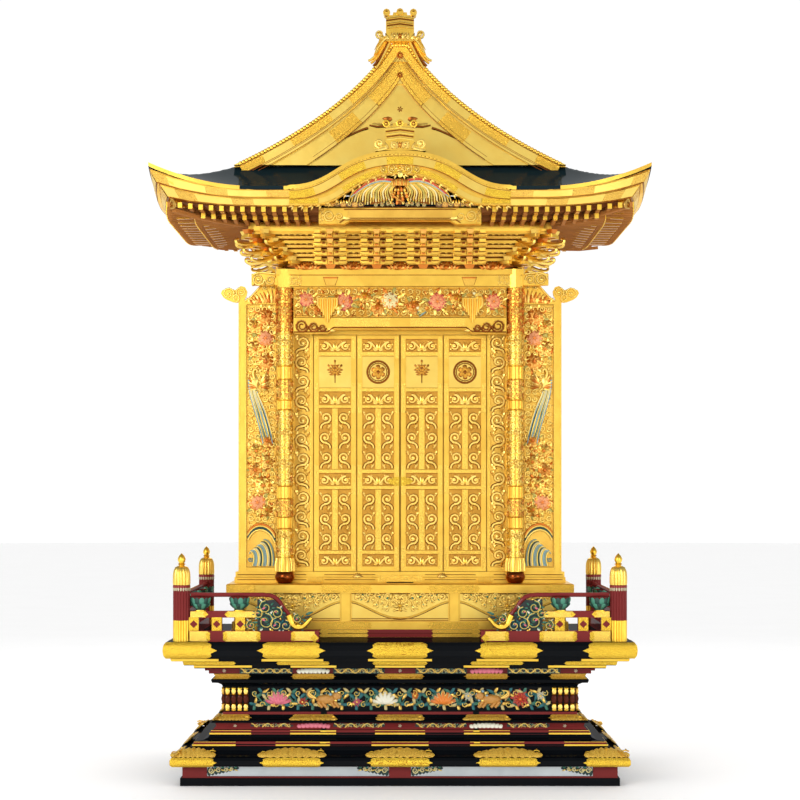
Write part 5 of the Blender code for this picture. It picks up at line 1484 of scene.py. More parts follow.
def make_wave():
    """The undulating gable over the front eave: boards, fittings, centre ornament and the carved bird."""
    top = mirrored([(x, z - SHELL - 0.001) for x, z in WAVE_TOP])
    low = mirrored(WAVE_LOW)
    boards = Relief(0.008, GOLD)
    rope(boards, offset(top, 0.004), 0.015, 0.008, -0.0042, PLAIN)
    banded(boards, top, (0.0, 0.1, 0.22, 0.34, 0.44, 0.56, 0.66, 0.78, 0.9, 1.0),
        ((-0.0085, -0.0365, 0.0012, ENGRAVED), (-0.0075, -0.0375, 0.0007, PALE)))
    # Painted shadow lines along both edges of the boards' sheets
    ribbon(boards, top, -0.0382, -0.0404, 0.0, 0.0014, SHADOW)
    ribbon(boards, top, -0.005, -0.0068, 0.0, 0.0014, SHADOW)
    boards.settle("wave_fittings", field("front", 0.7161))
    inner = Relief(0.01, GOLD)
    for k in range(8):
        finish = ENGRAVED if k in (0, 2, 3, 4, 5, 7) else PALE
        ribbon(inner, low, 0.008, 0.027, 0.0, 0.001, finish, k / 8, (k + 1) / 8)
    ribbon(inner, low, 0.0015, 0.005, 0.0, 0.003, PLAIN)
    fine = resampled(low, 121)
    for k in range(26):
        x, y = fine[round((k + 0.5) / 26 * 120)]
        side = 1 if x > 0 else -1
        for turn in (-0.5, 0.3):
            inner.put("leaf", GOLD, x, y + 0.003, (0.024, 0.012 * side, 0.007), -pi / 2 + turn + side * 0.5)
    inner.settle("wave_inner_fittings", field("front", 0.7041))
    centre = Relief(0.006, GOLD)
    for side in (-1, 1):
        centre.volute(side * 0.03, 2.366, 0.017, -pi / 2, side, 0.0038, GOLD, 1.5, 3)
        centre.volute(side * 0.062, 2.364, 0.012, -pi / 2, side, 0.003, GOLD, 1.4, 2)
    centre.flower(0, 2.37, 0.02, 8, GOLD, GILT, 2, 0.006)
    centre.put("petal", GOLD, 0, 2.362, (0.03, 0.024, 0.008), -pi / 2, 0.002)
    centre.settle("wave_pendant", field("front", 0.7062))
    carve_bird()
    beam = Relief(0.005, GOLD)
    for side in (-1, 1):
        beam.stem(spiral(side * 0.272, 2.196, 0.022, pi if side > 0 else 0, 1.8, side), 0.0042, GOLD, 0.6)
        beam.stem(spiral(side * 0.232, 2.194, 0.016, pi if side > 0 else 0, 1.5, side), 0.0036, GOLD, 0.6)
        beam.put("leaf", GOLD, side * 0.222, 2.188, (0.036, 0.015 * side, 0.006), pi if side > 0 else 0)
        carved_ground(beam, side * 0.3 - 0.01, side * 0.3 + 0.01, 2.168, 2.224, 0.02, 0.0024, GOLD)
    beam.put("tablet", GROUND, 0, 2.201, (0.4, 0.036, 0.001))
    for z in (2.18, 2.1865, 2.22):
        beam.rule(-0.214, z, 0.214, z, 0.0018, 0.0012)
    for side in (-1, 1):
        beam.rule(side * 0.214, 2.18, side * 0.232, 2.169, 0.0022, 0.0012)
    beam.settle("wave_beam_carving", field("front", 0.6401))
    dress_ornament("wave_ornament_carving", 2.4349, 0.117, 0.0, 0.718, 0.104, 0.16)


def make_gables():
    """The gables' roped edges, boards of chased and plain sheets, and the pendant at each peak."""
    foot = 2.419
    (x0, z0), (x1, z1) = SLOPE[0], SLOPE[1]
    peak = z0 + x0 * (z0 - z1) / (x1 - x0)
    outer = [(0.0, peak)] + [point for point in SLOPE if point[1] > foot]
    stops = (0.0, 0.06, 0.13, 0.24, 0.3, 0.7, 0.76, 0.87, 0.94, 1.0)
    inner_stops = (0.0, 0.1, 0.22, 0.3, 0.7, 0.78, 0.9, 1.0)
    for side in ("front", "back"):
        relief = Relief(0.008, GOLD)
        line = mirrored(outer)
        rope(relief, offset(mirrored(outer[1:]), -0.0055), 0.0135, 0.0078, 0.003, PLAIN)
        banded(relief, line, stops, ((-0.015, -0.044, 0.0012, WARM), (-0.015, -0.044, 0.0007, PALE)))
        # Painted shadow lines along the board's edges and steps
        for near in (0.0132, 0.0452, 0.05, 0.06):
            ribbon(relief, line, -near, -near - 0.0016, 0.0, 0.0013, SHADOW)
        relief.flower(0, 2.846, 0.019, 10, RED_GOLD, GILT, 2, 0.004)
        relief.settle("gable_fittings_" + side, field(side, 0.4624))
        second = Relief(0.008, GOLD)
        low = mirrored([(x, z - 0.086) for x, z in outer if z - 0.13 > foot])
        banded(second, low, inner_stops, ((0.001, -0.056, 0.0146, PALE), (0.001, -0.056, 0.015, WARM)),
            -0.014)
        # Painted shadow lines along the lower board
        for near in (0.043, 0.056):
            ribbon(second, low, -near, -near - 0.0016, -0.014, 0.0154, SHADOW)
        second.flower(0, 2.772, 0.016, 10, RED_GOLD, GILT, 2, 0.004)
        second.settle("gable_inner_fittings_" + side, field(side, 0.4484))
        pendant = Relief(0.012, GOLD)
        for hand in (-1, 1):
            pendant.put("leaf", SHADOW, hand * 0.03, 2.598, (0.04, 0.026 * -hand, 0.01),
                0.35 if hand > 0 else pi - 0.35)
            pendant.stem([(hand * 0.052, 2.574), (hand * 0.09, 2.571), (hand * 0.12, 2.577)], 0.006, SHADOW,
                0.5)
            pendant.stem([(hand * 0.052, 2.582), (hand * 0.108, 2.584)], 0.0034, GOLD, 0.8)
            pendant.stem(bezier((hand * 0.125, 2.566), (hand * 0.17, 2.556), (hand * 0.2, 2.53),
                (hand * 0.26, 2.51), 8), 0.0052, SHADOW, 0.5)
            pendant.volute(hand * 0.036, 2.566, 0.018, pi / 2, hand, 0.0042, GOLD, 1.4, 3)
        pendant.flower(0, 2.64, 0.012, 6, SHADOW, GOLD, 1, 0.004)
        pendant.flower(0, 2.58, 0.018, 8, GOLD, GILT, 2, 0.006)
        pendant.settle("gable_pendant_" + side, field(side, 0.4344))
    dress_ornament("ridge_ornament_front", 2.8917, 0.1265, 0.046, 0.5121, 0.104)


FOOT_CURVE = [(0.032, 0.0788), (0.024, 0.086), (0.024, 0.102), (0.03, 0.112)]
TOP_NOSE = [(0.011, 0.4985), (0.0025, 0.5093), (0, 0.5286), (0.0025, 0.548), (0.011, 0.559)]


def dais_spans(centre, first, last, corner):
    """Where a course has sheets: in the middle, between, and at the corner."""
    return ((-centre, centre), (first, last), (corner, None))


def cloud_fittings():
    """The pierced cloud-shaped plates on the two sloping mouldings and the roll over the waist."""
    for side in SIDES:
        across, half, out = run_of(side, DAIS_HALF)
        shift = 0 if across else DAIS_HALF[0] - DAIS_HALF[1]
        for name, low, high, inset_low, inset_high, spots, corner in (
                ("splay", 0.115, 0.1475, 0.034, 0.091, (0.0, 0.418), 0.8),
                ("cove", 0.243, 0.26, 0.176, 0.211, (0.0, 0.341), 0.655)):
            relief = Relief(0.01, CHASED)
            slope = sqrt((high - low) ** 2 + (inset_high - inset_low) ** 2)
            places = [x for x in spots if across or x == 0] + [corner - shift]
            for x in sorted({hand * x for x in places for hand in (-1, 1)}):
                wide = 0.126 if name == "splay" else 0.09
                if abs(x) > 0.62 * half:
                    wide *= 0.66
                for k in range(9):
                    t = (k / 8 - 0.5) * 2
                    tall = slope * (0.98 - 0.5 * t * t)
                    relief.put("bead", CHASED, x + t * wide * 0.88, tall * 0.42,
                        (wide * 0.19, tall * 0.5, 0.0046))
                for hand in (-1, 1):
                    for reach, size in ((0.86, 0.27), (0.5, 0.22), (0.2, 0.18)):
                        relief.volute(x + hand * wide * reach, slope * 0.34, slope * size, 0.6, hand, 0.003,
                            GILT, 1.3, 1)
                relief.flower(x, slope * 0.6, slope * 0.24, 6, GILT, GILT, 1, 0.006)
            tilt = spun(-(pi / 2 - (0.62 if name == "splay" else 0.46)), "X")
            relief.settle(f"{name}_clouds_{side}", field(side, out - inset_low + 0.0012, low) @ tilt,
                slot="gilt_metal")


def make_dais_fittings(sizes):
    """The gilt metal fittings on the dais's mouldings, in step with each other from the foot to the top."""
    bm = bmesh.new()
    thick = sizes.fitting
    waist_spans = dais_spans(0.098, 0.251, 0.431, 0.584)
    step_spans = dais_spans(0.111, 0.273, 0.484, 0.64)
    rows = ((0, TOP_NOSE, dais_spans(0.128, 0.287, 0.551, 0.703), 0.042),
        (1, [(0.03, 0.4862), (0.0275, 0.495)], dais_spans(0.123, 0.296, 0.534, 0.7), 0.0),
        (0, [(0.0735, 0.469), (0.0705, 0.482)], dais_spans(0.109, 0.271, 0.481, 0.636), 0.01),
        (1, [(0.11, 0.455), (0.11, 0.4635)], dais_spans(0.097, 0.248, 0.426, 0.577), 0.0),
        (2, [(0.179, 0.4036), (0.188, 0.414), (0.181, 0.4256)], waist_spans, 0.016),
        (2, [(0.174, 0.2426), (0.188, 0.247), (0.203, 0.2535), (0.213, 0.2604)], waist_spans, 0.016),
        (1, [(0.166, 0.1885), (0.166, 0.1946)], waist_spans, 0.0),
        (1, [(0.171, 0.198), (0.171, 0.2036)], waist_spans, 0.0),
        (1, [(0.104, 0.1505), (0.104, 0.1566)], step_spans, 0.0),
        (1, [(0.11, 0.16), (0.11, 0.1658)], step_spans, 0.0),
        (0, FOOT_CURVE, dais_spans(0.127, 0.293, 0.543, 0.706), 0.026),)
    for index, profile, spans, end in rows:
        fittings(bm, index, resampled(profile, 13) if end else profile, spans, DAIS_HALF, thick, end)
    settle("dais_fittings", bm, [ENGRAVED, GILT, CHASED])
    stripes = bmesh.new()
    for profile in ([(0.2138, 0.2618), (0.2135, 0.2724)], [(0.149, 0.4404), (0.149, 0.451)],
            [(0.163, 0.4276), (0.163, 0.4394)], [(0.1785, 0.2058), (0.19, 0.218), (0.1862, 0.2324)],
            [(0.1665, 0.188), (0.171, 0.2044)], [(0.1045, 0.15), (0.11, 0.1662)]):
        fittings(stripes, 0, profile, ((-0.3, 0.3), (0.3, None)), DAIS_HALF, 0.0007)
    settle("dais_stripes", stripes, ["red_brown_lacquer"])
    cloud_fittings()


def foot_panels(side, half, out):
    """Silver panels in the foot band, with dark carved brackets in their upper corners."""
    relief = Relief(0.005, "silver_leaf")
    spans = ((0.043, 0.748), (-0.748, -0.043)) if side in ("front",
        "back") else ((-half + 0.164, half - 0.164),)
    for x0, x1 in spans:
        relief.ground(x0, 0.037, x1, 0.0735, "silver_leaf", 0.0008)
        for x, hand in ((x0, 1), (x1, -1)):
            for k in range(9):
                tall = 0.034 * (1 - k / 9) ** 0.7 + 0.004
                relief.put("bead", DARK_GREEN, x + hand * (0.008 + 0.0135 * k), 0.0735 - tall * 0.5,
                    (0.0095, tall * 0.55, 0.003))
            for k, (dx, radius) in enumerate(((0.016, 0.0115), (0.044, 0.01), (0.072, 0.008),
                    (0.096, 0.006))):
                turn = hand * (1 if k % 2 else -1)
                relief.stem(spiral(x + hand * dx, 0.072 - radius * 1.15, radius, 0.6 * k, 1.4, turn, 8),
                    0.0026, CREAM, 0.6, 0.003)
                for j in range(2):
                    relief.put("leaf", (GREEN, GOLD)[j], x + hand * (dx + 0.01), 0.069 - 0.006 * j,
                        (0.016, 0.007 * hand, 0.004), (0.4 - 0.9 * j) if hand > 0 else pi - 0.4 + 0.9 * j,
                        0.002)
    relief.settle("foot_panels_" + side, field(side, out - 0.068 - 0.006), slot="painted_carving")


def carve_lion(relief, x, y, hand):
    """A small running lion with a curled mane."""
    tan = "tan_pigment"
    relief.put("bead", tan, x, y + 0.034, (0.042, 0.02, 0.015), z=0.007)
    relief.put("bead", tan, x + hand * 0.044, y + 0.048, (0.019, 0.018, 0.015), z=0.009)
    for k in range(9):
        angle = pi * 0.22 * k
        relief.put("bead", (BLUE_GREY, GOLD)[k % 2], x + hand * 0.036 + 0.02 * cos(angle),
            y + 0.048 + 0.019 * sin(angle), (0.007, 0.007, 0.01), z=0.006)
    for k, lean in enumerate((-0.032, -0.016, 0.018, 0.034)):
        relief.stem([(x + lean, y + 0.026, 0.008), (x + lean + hand * 0.01, y + 0.012, 0.008),
            (x + lean + hand * 0.018, y + 0.003, 0.008)], 0.007, tan, 0.8)
    for k in range(4):
        relief.stem(bezier((x - hand * 0.038, y + 0.04, 0.008),
            (x - hand * 0.066, y + 0.036 + 0.006 * k, 0.008),
            (x - hand * 0.08, y + 0.05 + 0.006 * k, 0.008),
            (x - hand * (0.07 - 0.008 * k), y + 0.07, 0.008), 6), 0.004, (tan, GOLD)[k % 2], 0.6)


def lotus_cartouche(relief, x, y, width, height, finish):
    """A band of overlapping lotus petals, widest in the middle."""
    for row in range(2):
        count = 9 - row
        for k in range(count):
            t = (k - (count - 1) / 2) / (count / 2)
            relief.put("petal", finish, x + t * width * 0.42, y - height * 0.5,
                (height * (1.05 - 0.3 * t * t - 0.15 * row), width * 0.13, 0.005), pi / 2 - t * 0.5,
                0.001 + 0.0015 * row)


def make_dais_carving():
    """The carved waist, the running scrolls above and below it, and the silver panels of the foot."""
    blooms = ((-0.481, PINK, 0), (-0.385, ROSE, 1), (-0.059, WHITE, 0), (0.06, ORANGE, 1),
        (0.17, ORANGE, 0), (0.474, ROSE, 2), (-0.17, PINK, 1), (0.27, WHITE, 1), (0.555, WHITE, 1))
    for side in SIDES:
        across, half, out = run_of(side, DAIS_HALF)
        end = half - WAIST_IN - 0.098
        waist = Relief(0.014, GREEN)
        vine(waist, -end + 0.01, end - 0.01, WAIST_Z, 0.074, GREEN, TEAL, 0.0036, 0.062)
        count = round(end / 0.03)
        for k in range(-count, count + 1):
            x = k * (end - 0.022) / count
            y = WAIST_Z + 0.022 * (1 if k % 2 else -1)
            for j in range(4):
                finish = (TEAL, GREEN, CREAM, GOLD)[(k + j) % 4]
                waist.put("leaf", finish, x, y, (0.036, 0.017, 0.009), 1.57 * j + k * 0.8)
            waist.stem(spiral(x, 0.644 - y, 0.012, k, 1.1, 1 if k % 2 else -1, 7), 0.002, GOLD, 0.6, 0.007)
        for x, finish, kind in blooms:
            x = x if across else x * 0.46
            if kind == 0:
                waist.lotus(x, WAIST_Z, 0.043, finish, CREAM, 0.013)
            elif kind == 1:
                waist.flower(x, WAIST_Z + (0.012 if x > 0 else -0.012), 0.022, 8, finish, GOLD, 2, 0.009)
            else:
                waist.flower(x, WAIST_Z, 0.042, 9, finish, ORANGE, 3, 0.011)
        if across:
            for x, hand in ((-0.292, 1), (0.359, -1)):
                carve_lion(waist, x, 0.286, hand)
        waist.settle("waist_carving_" + side, field(side, out - WAIST_IN - 0.009), slot="painted_carving")
        studs = Relief(0.02, GOLD)
        for hand in (-1, 1):
            for k in range(4):
                x = hand * (half - WAIST_IN - 0.013 - k * 0.024)
                for z, size, finish in ((WAIST_Z, 0.022, "dark_red_lacquer"), (0.291, 0.017, GOLD),
                        (0.353, 0.017, GOLD), (0.28, 0.006, GILT), (0.3645, 0.006, GILT)):
                    studs.put("bead", finish, x, z, (0.0118, size, 0.013), z=0.001)
                for z in (0.303, 0.341):
                    studs.put("bead", GILT, x, z, (0.0122, 0.003, 0.0135), z=0.001)
        studs.settle("corner_studs_" + side, field(side, out - WAIST_IN))
        for name, z, height, inset, petals in (("upper", 0.4395, 0.024, 0.149, (WHITE, PINK)),
                ("lower", 0.219, 0.028, 0.189, (PINK, WHITE))):
            run = Relief(0.006, GREEN)
            reach = half - inset
            spans = [(a, b) for a, b in ((0.06, 0.262), (0.42, reach - 0.135)) if b - a > 0.03]
            for a, b in spans:
                for hand in (-1, 1):
                    x0, x1 = sorted((hand * a, hand * b))
                    run.put("tablet", DARK_GREEN, (x0 + x1) / 2, z, (x1 - x0, height, 0.0006))
                    vine(run, x0 + 0.004, x1 - 0.004, z, height, GOLD, "pale_green_pigment", 0.0024,
                        height * 1.2)
                    if side == "front":
                        vine(run, x0 + 0.01, x1 - 0.01, z, height * 0.8, CREAM, CREAM, 0.0014, height * 1.2,
                            -1)
            for x in (0.339, -0.339):
                if across:
                    lotus_cartouche(run, x, z, 0.14, height, petals[x > 0])
            for x in (0.0, reach - 0.075, 0.075 - reach):
                run.flower(x, z, 0.0075, 6, WHITE, ORANGE, 1, 0.004)
            run.settle(f"scroll_band_{name}_{side}", field(side, out - inset + 0.0016),
                slot="painted_carving")
        foot_panels(side, half, out)


def rail_fittings():
    """The gilt sheets, strut plates and green lotus cups of the railing."""
    for hand, name in ((-1, "left"), (1, "right")):
        work = Relief(0.018, ENGRAVED)
        chased(work, 0.743, 0.5615, 0.813, 0.6008, 0.0, 0.0012)
        chased(work, 0.548, 0.5615, 0.675, 0.6008, 0.0, 0.0012)
        chased(work, 0.33, 0.564, 0.412, 0.6, 0.0, 0.0012)
        for x, turn in ((0.743, 1), (0.675, -1), (0.548, 1), (0.412, -1)):
            for z in (0.5715, 0.5905):
                work.put("bead", ENGRAVED, x, z, (0.01, 0.0095, 0.0018))
            work.put("tablet", ENGRAVED, x, 0.5812, (0.014, 0.014, 0.0016), pi / 4)
        work.put("tablet", ENGRAVED, 0.33, 0.5745, (0.024, 0.024, 0.0014), pi / 4)
        work.settle("low_rail_fittings_" + name, mirror_place(field("front", 0.5591), hand),
            slot="gilt_metal")
        upper = Relief(0.018, ENGRAVED)
        for x0, x1 in ((0.752, 0.811), (0.556, 0.668)):
            chased(upper, x0, 0.6545, x1, 0.677, 0.0, 0.0012)
        for x in (0.752, 0.668):
            upper.put("tablet", ENGRAVED, x, 0.6658, (0.015, 0.015, 0.0016), pi / 4)
        for x in (0.772, 0.622):
            upper.put("bead", GILT, x, 0.679, (0.024, 0.006, 0.006))
        upper.settle("mid_rail_fittings_" + name, mirror_place(field("front", 0.5512), hand),
            slot="gilt_metal")
        plates = Relief(0.01, CHASED)
        for x in (0.798, 0.709, 0.618):
            plates.put("tablet", ENGRAVED, x, 0.628, (0.038, 0.052, 0.001))
            plates.put("tablet", "red_brown_lacquer", x, 0.628, (0.021, 0.021, 0.0024), pi / 4)
        plates.settle("strut_plates_" + name, mirror_place(field("front", 0.5512), hand), slot="gilt_metal")
        cups = bmesh.new()
        spots = [(hand * x, -POST_Y) for x in (0.772, 0.622)]
        spots += [(hand * POST_X, -0.4605 + 0.307 * k) for k in range(4)]
        for x, y in spots:
            for count, reach, rise, tall, lean in ((12, 0.032, 0.713, 0.02, 0.38),
                    (12, 0.0255, 0.697, 0.017, 0.85)):
                for k in range(count):
                    turn = moved(x, y, rise) @ spun(tau * (k + lean) / count)
                    made = bmesh.ops.create_uvsphere(cups, u_segments=6, v_segments=5, radius=1,
                        matrix=turn @ moved(reach, 0, 0) @ spun(lean, "Y") @ sized(0.005, 0.0125,
                        tall))["verts"]
                    paint(made, k % 2)
            place = moved(x, y, 0.6835) @ sized(0.02, 0.02, 0.009)
            bmesh.ops.create_uvsphere(cups, u_segments=12, v_segments=6, radius=1, matrix=place)
        settle("lotus_cups_" + name, cups, [GREEN, "pale_green_pigment"], smooth=60)


def fluted(bm, x, y, radius, z0, z1, flutes, index, profile=((1.0, 0.0), (1.0, 1.0))):
    """A fluted round, straight or following a profile of (share of the radius, share of the height)."""
    stops = resampled(profile, 2 if len(profile) == 2 else 13)
    line = [(0, z0)] + [(radius * r, z0 + (z1 - z0) * (t if len(profile) == 2 else t / profile[-1][1]))
        for r, t in stops] + [(0, z1)]
    older = set(bm.verts)
    turned(bm, line, x, y, flutes * 6, index)
    for vertex in bm.verts:
        if vertex not in older:
            dx, dy = vertex.co.x - x, vertex.co.y - y
            if dx * dx + dy * dy > 1e-8:
                angle = Vector((dx, dy)).angle_signed(Vector((1, 0)))
                keep = 1 - 0.12 * (1 - abs(sin(angle * flutes / 2)))
                vertex.co.x, vertex.co.y = x + dx * keep, y + dy * keep


def make_railing(sizes):
    """Fluted posts with turned finials, rails with pointed fittings, lotus cups, and painted sprays."""
    for front, back in ((-1, "front"), (1, "back")):
        for side, name in ((-1, "left"), (1, "right")):
            x, y = side * POST_X, front * POST_Y
            post = bmesh.new()
            fluted(post, x, y, 0.0331, 0.624, 0.7788, sizes.flutes, 0)
            fluted(post, x, y, 0.0334, 0.5606, 0.642, sizes.flutes, 1)
            settle(f"post_{back}_{name}", post, ["red_brown_lacquer", GILT],
                replaces=(f"rail_post_{back}_{name}",))
            fringe = bmesh.new()
            for k in range(20):
                turn = moved(x, y, 0) @ spun(tau * k / 20)
                for z, tall, wide in ((0.7725, 0.0065, 0.0048), (0.764, 0.0085, 0.0044)):
                    made = bmesh.ops.create_uvsphere(fringe, u_segments=5, v_segments=4, radius=1,
                        matrix=turn @ moved(0.0326, 0, z) @ sized(0.0016, wide, tall))["verts"]
                    paint(made, 1 if z > 0.77 else 0)
            settle(f"post_fringe_{back}_{name}", fringe, [WHITE, ROSE])
            low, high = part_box(f"rail_finial_{back}_{name}")
            r, z0, h = (high.x - low.x) / 2, low.z, high.z - low.z
            finial = bmesh.new()
            ribbed = [(0.96, 0.0), (1.0, 0.04), (0.99, 0.3), (0.93, 0.44), (0.74, 0.55), (0.4, 0.6)]
            fluted(finial, x, y, r, z0, z0 + h * 0.6, 14, 0, ribbed)
            profile = [(0, z0 + h * 0.58), (r * 0.36, z0 + h * 0.58), (r * 0.3, z0 + h * 0.62),
                (r * 0.44, z0 + h * 0.65), (r * 0.3, z0 + h * 0.69), (r * 0.42, z0 + h * 0.75),
                (r * 0.44, z0 + h * 0.82), (r * 0.3, z0 + h * 0.91), (r * 0.1, z0 + h * 0.97), (0, high.z)]
            turned(finial, profile, x, y, 24, 1)
            settle(f"finial_{back}_{name}", finial, [PALE, GILT],
                replaces=(f"rail_finial_{back}_{name}",), smooth=60)
    rail_fittings()
    for side, name in ((-1, "left"), (1, "right")):
        spray = Relief(0.014, GREEN)
        for x, y, r, hand, leaf in (
                (0.52, 0.64, 0.03, 1, GREEN), (0.478, 0.628, 0.023, -1, TEAL),
                (0.476, 0.672, 0.021, 1, GREEN), (0.52, 0.694, 0.024, -1, GREEN),
                (0.442, 0.624, 0.019, 1, TEAL), (0.548, 0.668, 0.016, 1, GREEN),
                (0.395, 0.65, 0.017, -1, GREEN), (0.575, 0.625, 0.018, -1, GREEN)):
            spray.volute(x, y, r, pi / 2, hand, 0.0046, leaf, 1.5, 4, leaf, 8)
            spray.stem([(px, py, 0.004) for px, py in spiral(x, y, r + 0.002, pi / 2, 1.2, hand)], 0.0016,
                GOLD, 0.8, 0.008)
            for k in range(5):
                angle = pi / 2 + hand * (0.5 + k)
                spray.put("leaf", (WHITE, GREEN, GOLD)[k % 3], x + r * cos(angle), y + r * sin(angle),
                    (r * 0.7, r * 0.36 * -hand, 0.007), angle + hand * 0.5, 0.002)
            spray.put("petal", PINK, x, y, (r * 0.6, r * 0.4, 0.006), 0.6 * hand, 0.006)
        for k in range(5):
            spray.put("leaf", (GREEN, DARK_GREEN)[k % 2], 0.365 + 0.006 * k, 0.664 - 0.01 * k,
                (0.032, 0.014, 0.007), pi - 0.5 + 0.35 * k)
        spray.settle("rail_spray_" + name, mirror_place(field("front", 0.5491), side),
            slot="painted_carving")
        tip = Relief(0.012, GILT)
        hook = bezier((0.44, 0.676), (0.415, 0.65), (0.425, 0.617), (0.392, 0.616), 6)
        hook += bezier((0.392, 0.616), (0.366, 0.616), (0.362, 0.636), (0.342, 0.652), 6)[1:]
        tip.stem(hook[1:], 0.015, GILT, 0.5, 0.0)
        tip.put("bead", GILT, 0.392, 0.622, (0.014, 0.012, 0.012))
        tip.settle("handrail_tip_" + name, mirror_place(field("front", 0.552), side), slot="gilt_metal",
            smooth=60)


def make_base():
    """The shrine's base: gilt patches on its courses and ledge, carved panels with struts, and the sill."""
    patches = bmesh.new()
    for z0, z1, long, deep in ((0.7395, 0.7705, 0.69, 0.335), (0.5935, 0.6205, 0.669, 0.317)):
        fittings(patches, 0, resampled([(0, z0), (0, z1)], 13), ((0.108, 0.32), (long - 0.12, None)),
            (long, deep), 0.0014, 0.014, middle_y=SHRINE_Y)
    settle("base_patches", patches, [WARM])
    course, half = bmesh.new(), (0.672, 0.32)
    fittings(course, 0, [(0, 0.5606), (0, 0.5916)], ((-0.3, 0.3), (0.3, None)), half, 0.0008,
        middle_y=SHRINE_Y)
    fittings(course, 1, [(0, 0.5755), (0, 0.5768)], ((-0.3, 0.3), (0.3, None)), half, 0.0012,
        middle_y=SHRINE_Y)
    for z0, z1 in ((0.5614, 0.575), (0.5772, 0.5908)):
        fittings(course, 2, resampled([(0, z0), (0, z1)], 13), ((0.124, 0.324), (0.56, None)), half, 0.0016,
            0.01, middle_y=SHRINE_Y)
    settle("base_lacquer_course", course, ["red_brown_lacquer", "black_lacquer", WARM])
    for side in SIDES:
        across = side in ("front", "back")
        panel = Relief(0.006, GOLD)
        for x0, x1 in ((-0.194, 0.194), (0.24, 0.617), (-0.617, -0.24)) if across else ((-0.27, 0.27),):
            middle, reach = (x0 + x1) / 2, (x1 - x0) / 2
            panel.ground(x0, 0.624, x1, 0.735, PALE, 0.0005)
            for hand in (-1, 1):
                line = bezier((middle + hand * reach, 0.702), (middle + hand * reach * 0.72, 0.694),
                    (middle + hand * reach * 0.4, 0.634), (middle, 0.636), 10)
                panel.stem(line, 0.0026, PLAIN, 1.0, 0.004)
                # A painted shadow a little below the stem
                panel.stem([(x, z - 0.006) for x, z in line], 0.0014, SHADOW, 1.0, 0.001)
                for t, r, z in ((0.14, 0.026, 0.69), (0.36, 0.022, 0.7), (0.55, 0.018, 0.708),
                        (0.72, 0.014, 0.715), (0.87, 0.012, 0.722), (0.24, 0.016, 0.722),
                        (0.46, 0.013, 0.726), (0.06, 0.018, 0.715), (0.64, 0.011, 0.729),
                        (0.3, 0.013, 0.676), (0.5, 0.01, 0.688)):
                    x = middle + hand * reach * t
                    panel.volute(x, z, r, -pi / 2, hand * (1 if t * 10 % 2 < 1 else -1), 0.0046, GOLD, 1.3,
                        4, GREEN if t in (0.36, 0.72) else GOLD)
                for k in range(12):
                    t = 0.06 + 0.078 * k
                    panel.put("leaf", GOLD, middle + hand * reach * t, 0.731, (0.022, 0.011 * hand, 0.006),
                        -pi / 2 + 0.5 * (k % 3 - 1))
            panel.flower(middle, 0.684, 0.026, 8, GOLD, GILT, 2, 0.007)
            for z in (0.6265, 0.633, 0.7335):
                panel.rule(x0, z, x1, z, 0.0016, 0.0004)
        panel.settle("base_carving_" + side, field(side, (0.296 if across else 0.648) + 0.0003, 0, SHRINE_Y))
    sill = Relief(0.01, GOLD)
    chased(sill, -0.09, 0.778, 0.09, 0.803, 0.0, 0.0016)
    sill.put("tablet", "black_lacquer", 0, 0.775, (0.108, 0.0035, 0.002))
    for hand in (-1, 1):
        for k in range(9):
            sill.put("block", PLAIN, hand * (0.315 + 0.0068 * k), 0.782, (0.0056, 0.03, 0.007))
        sill.lotus(hand * 0.17, 0.8, 0.016, GOLD, RED_GOLD, 0.005)
        for z in (0.786, 0.806):
            sill.rule(hand * 0.378, z, hand * 0.655, z, 0.0014, 0.0004)
            sill.rule(hand * 0.1, z, hand * 0.305, z, 0.0012, 0.0004)
    sill.settle("sill_fittings", field("front", 0.2051))
    struts = Relief(0.006, PLAIN)
    for x in (-0.64, -0.217, 0.217, 0.64):
        struts.put("tablet", PLAIN, x, 0.679, (0.036, 0.108, 0.0012))
        # Painted shadow lines down both edges of each plate
        for edge in (-0.0185, 0.0185):
            struts.put("tablet", SHADOW, x + edge, 0.679, (0.0012, 0.11, 0.0014))
    struts.settle("base_strut_plates", field("front", 0.2881))


def height_on(curve, x):
    """The height of a line that runs outwards, at a distance from the middle."""
    if x <= curve[0][0]:
        return curve[0][1]
    for (x0, z0), (x1, z1) in zip(curve, curve[1:]):
        if x <= x1:
            return z0 + (z1 - z0) * (x - x0) / (x1 - x0)
    return curve[-1][1]


def roof_height(x, y):
    """The roof's height: its slopes, its skirts, the turned-up corners and the wave."""
    slope = height_on(SLOPE, abs(x))
    if abs(y) > GABLE_Y - 0.0002:
        slope = min(slope, height_on(SLOPE, EAVE_X - (EAVE_Y - abs(y))))
    height = slope + CORNER_RISE * lift_at(x, y)
    if y < -GABLE_Y - 0.0002 and abs(x) < WAVE_END:
        height = max(height, height_on(WAVE_TOP, abs(x)))
    return height


def make_roof():
    """The roof's sheets, with their slopes drawn smooth and their edges gilded."""
    parts = (("roof_main", [x / 60 * EAVE_X for x in range(-60, 61)],
        [-0.4197 + 0.8394 * k / 12 for k in range(13)]),
        ("roof_skirt_front", [x / 80 * EAVE_X for x in range(-80, 81)],
        [-0.72 + 0.3 * k / 16 for k in range(17)]), ("roof_skirt_back",
        [x / 80 * EAVE_X for x in range(-80, 81)], [0.42 + 0.3 * k / 16 for k in range(17)]),)
    for name, xs, ys in parts:
        bm = bmesh.new()
        sheet(bm, len(xs), len(ys), lambda i, j: (xs[i], ys[j], roof_height(xs[i], ys[j])), SHELL)
        bm.normal_update()
        for face in bm.faces:
            if abs(face.normal.z) < 0.3:
                face.material_index = 1
        settle(name + "_sheet", bm, ["roof_lacquer", PLAIN], replaces=(name,),
            smooth=30)


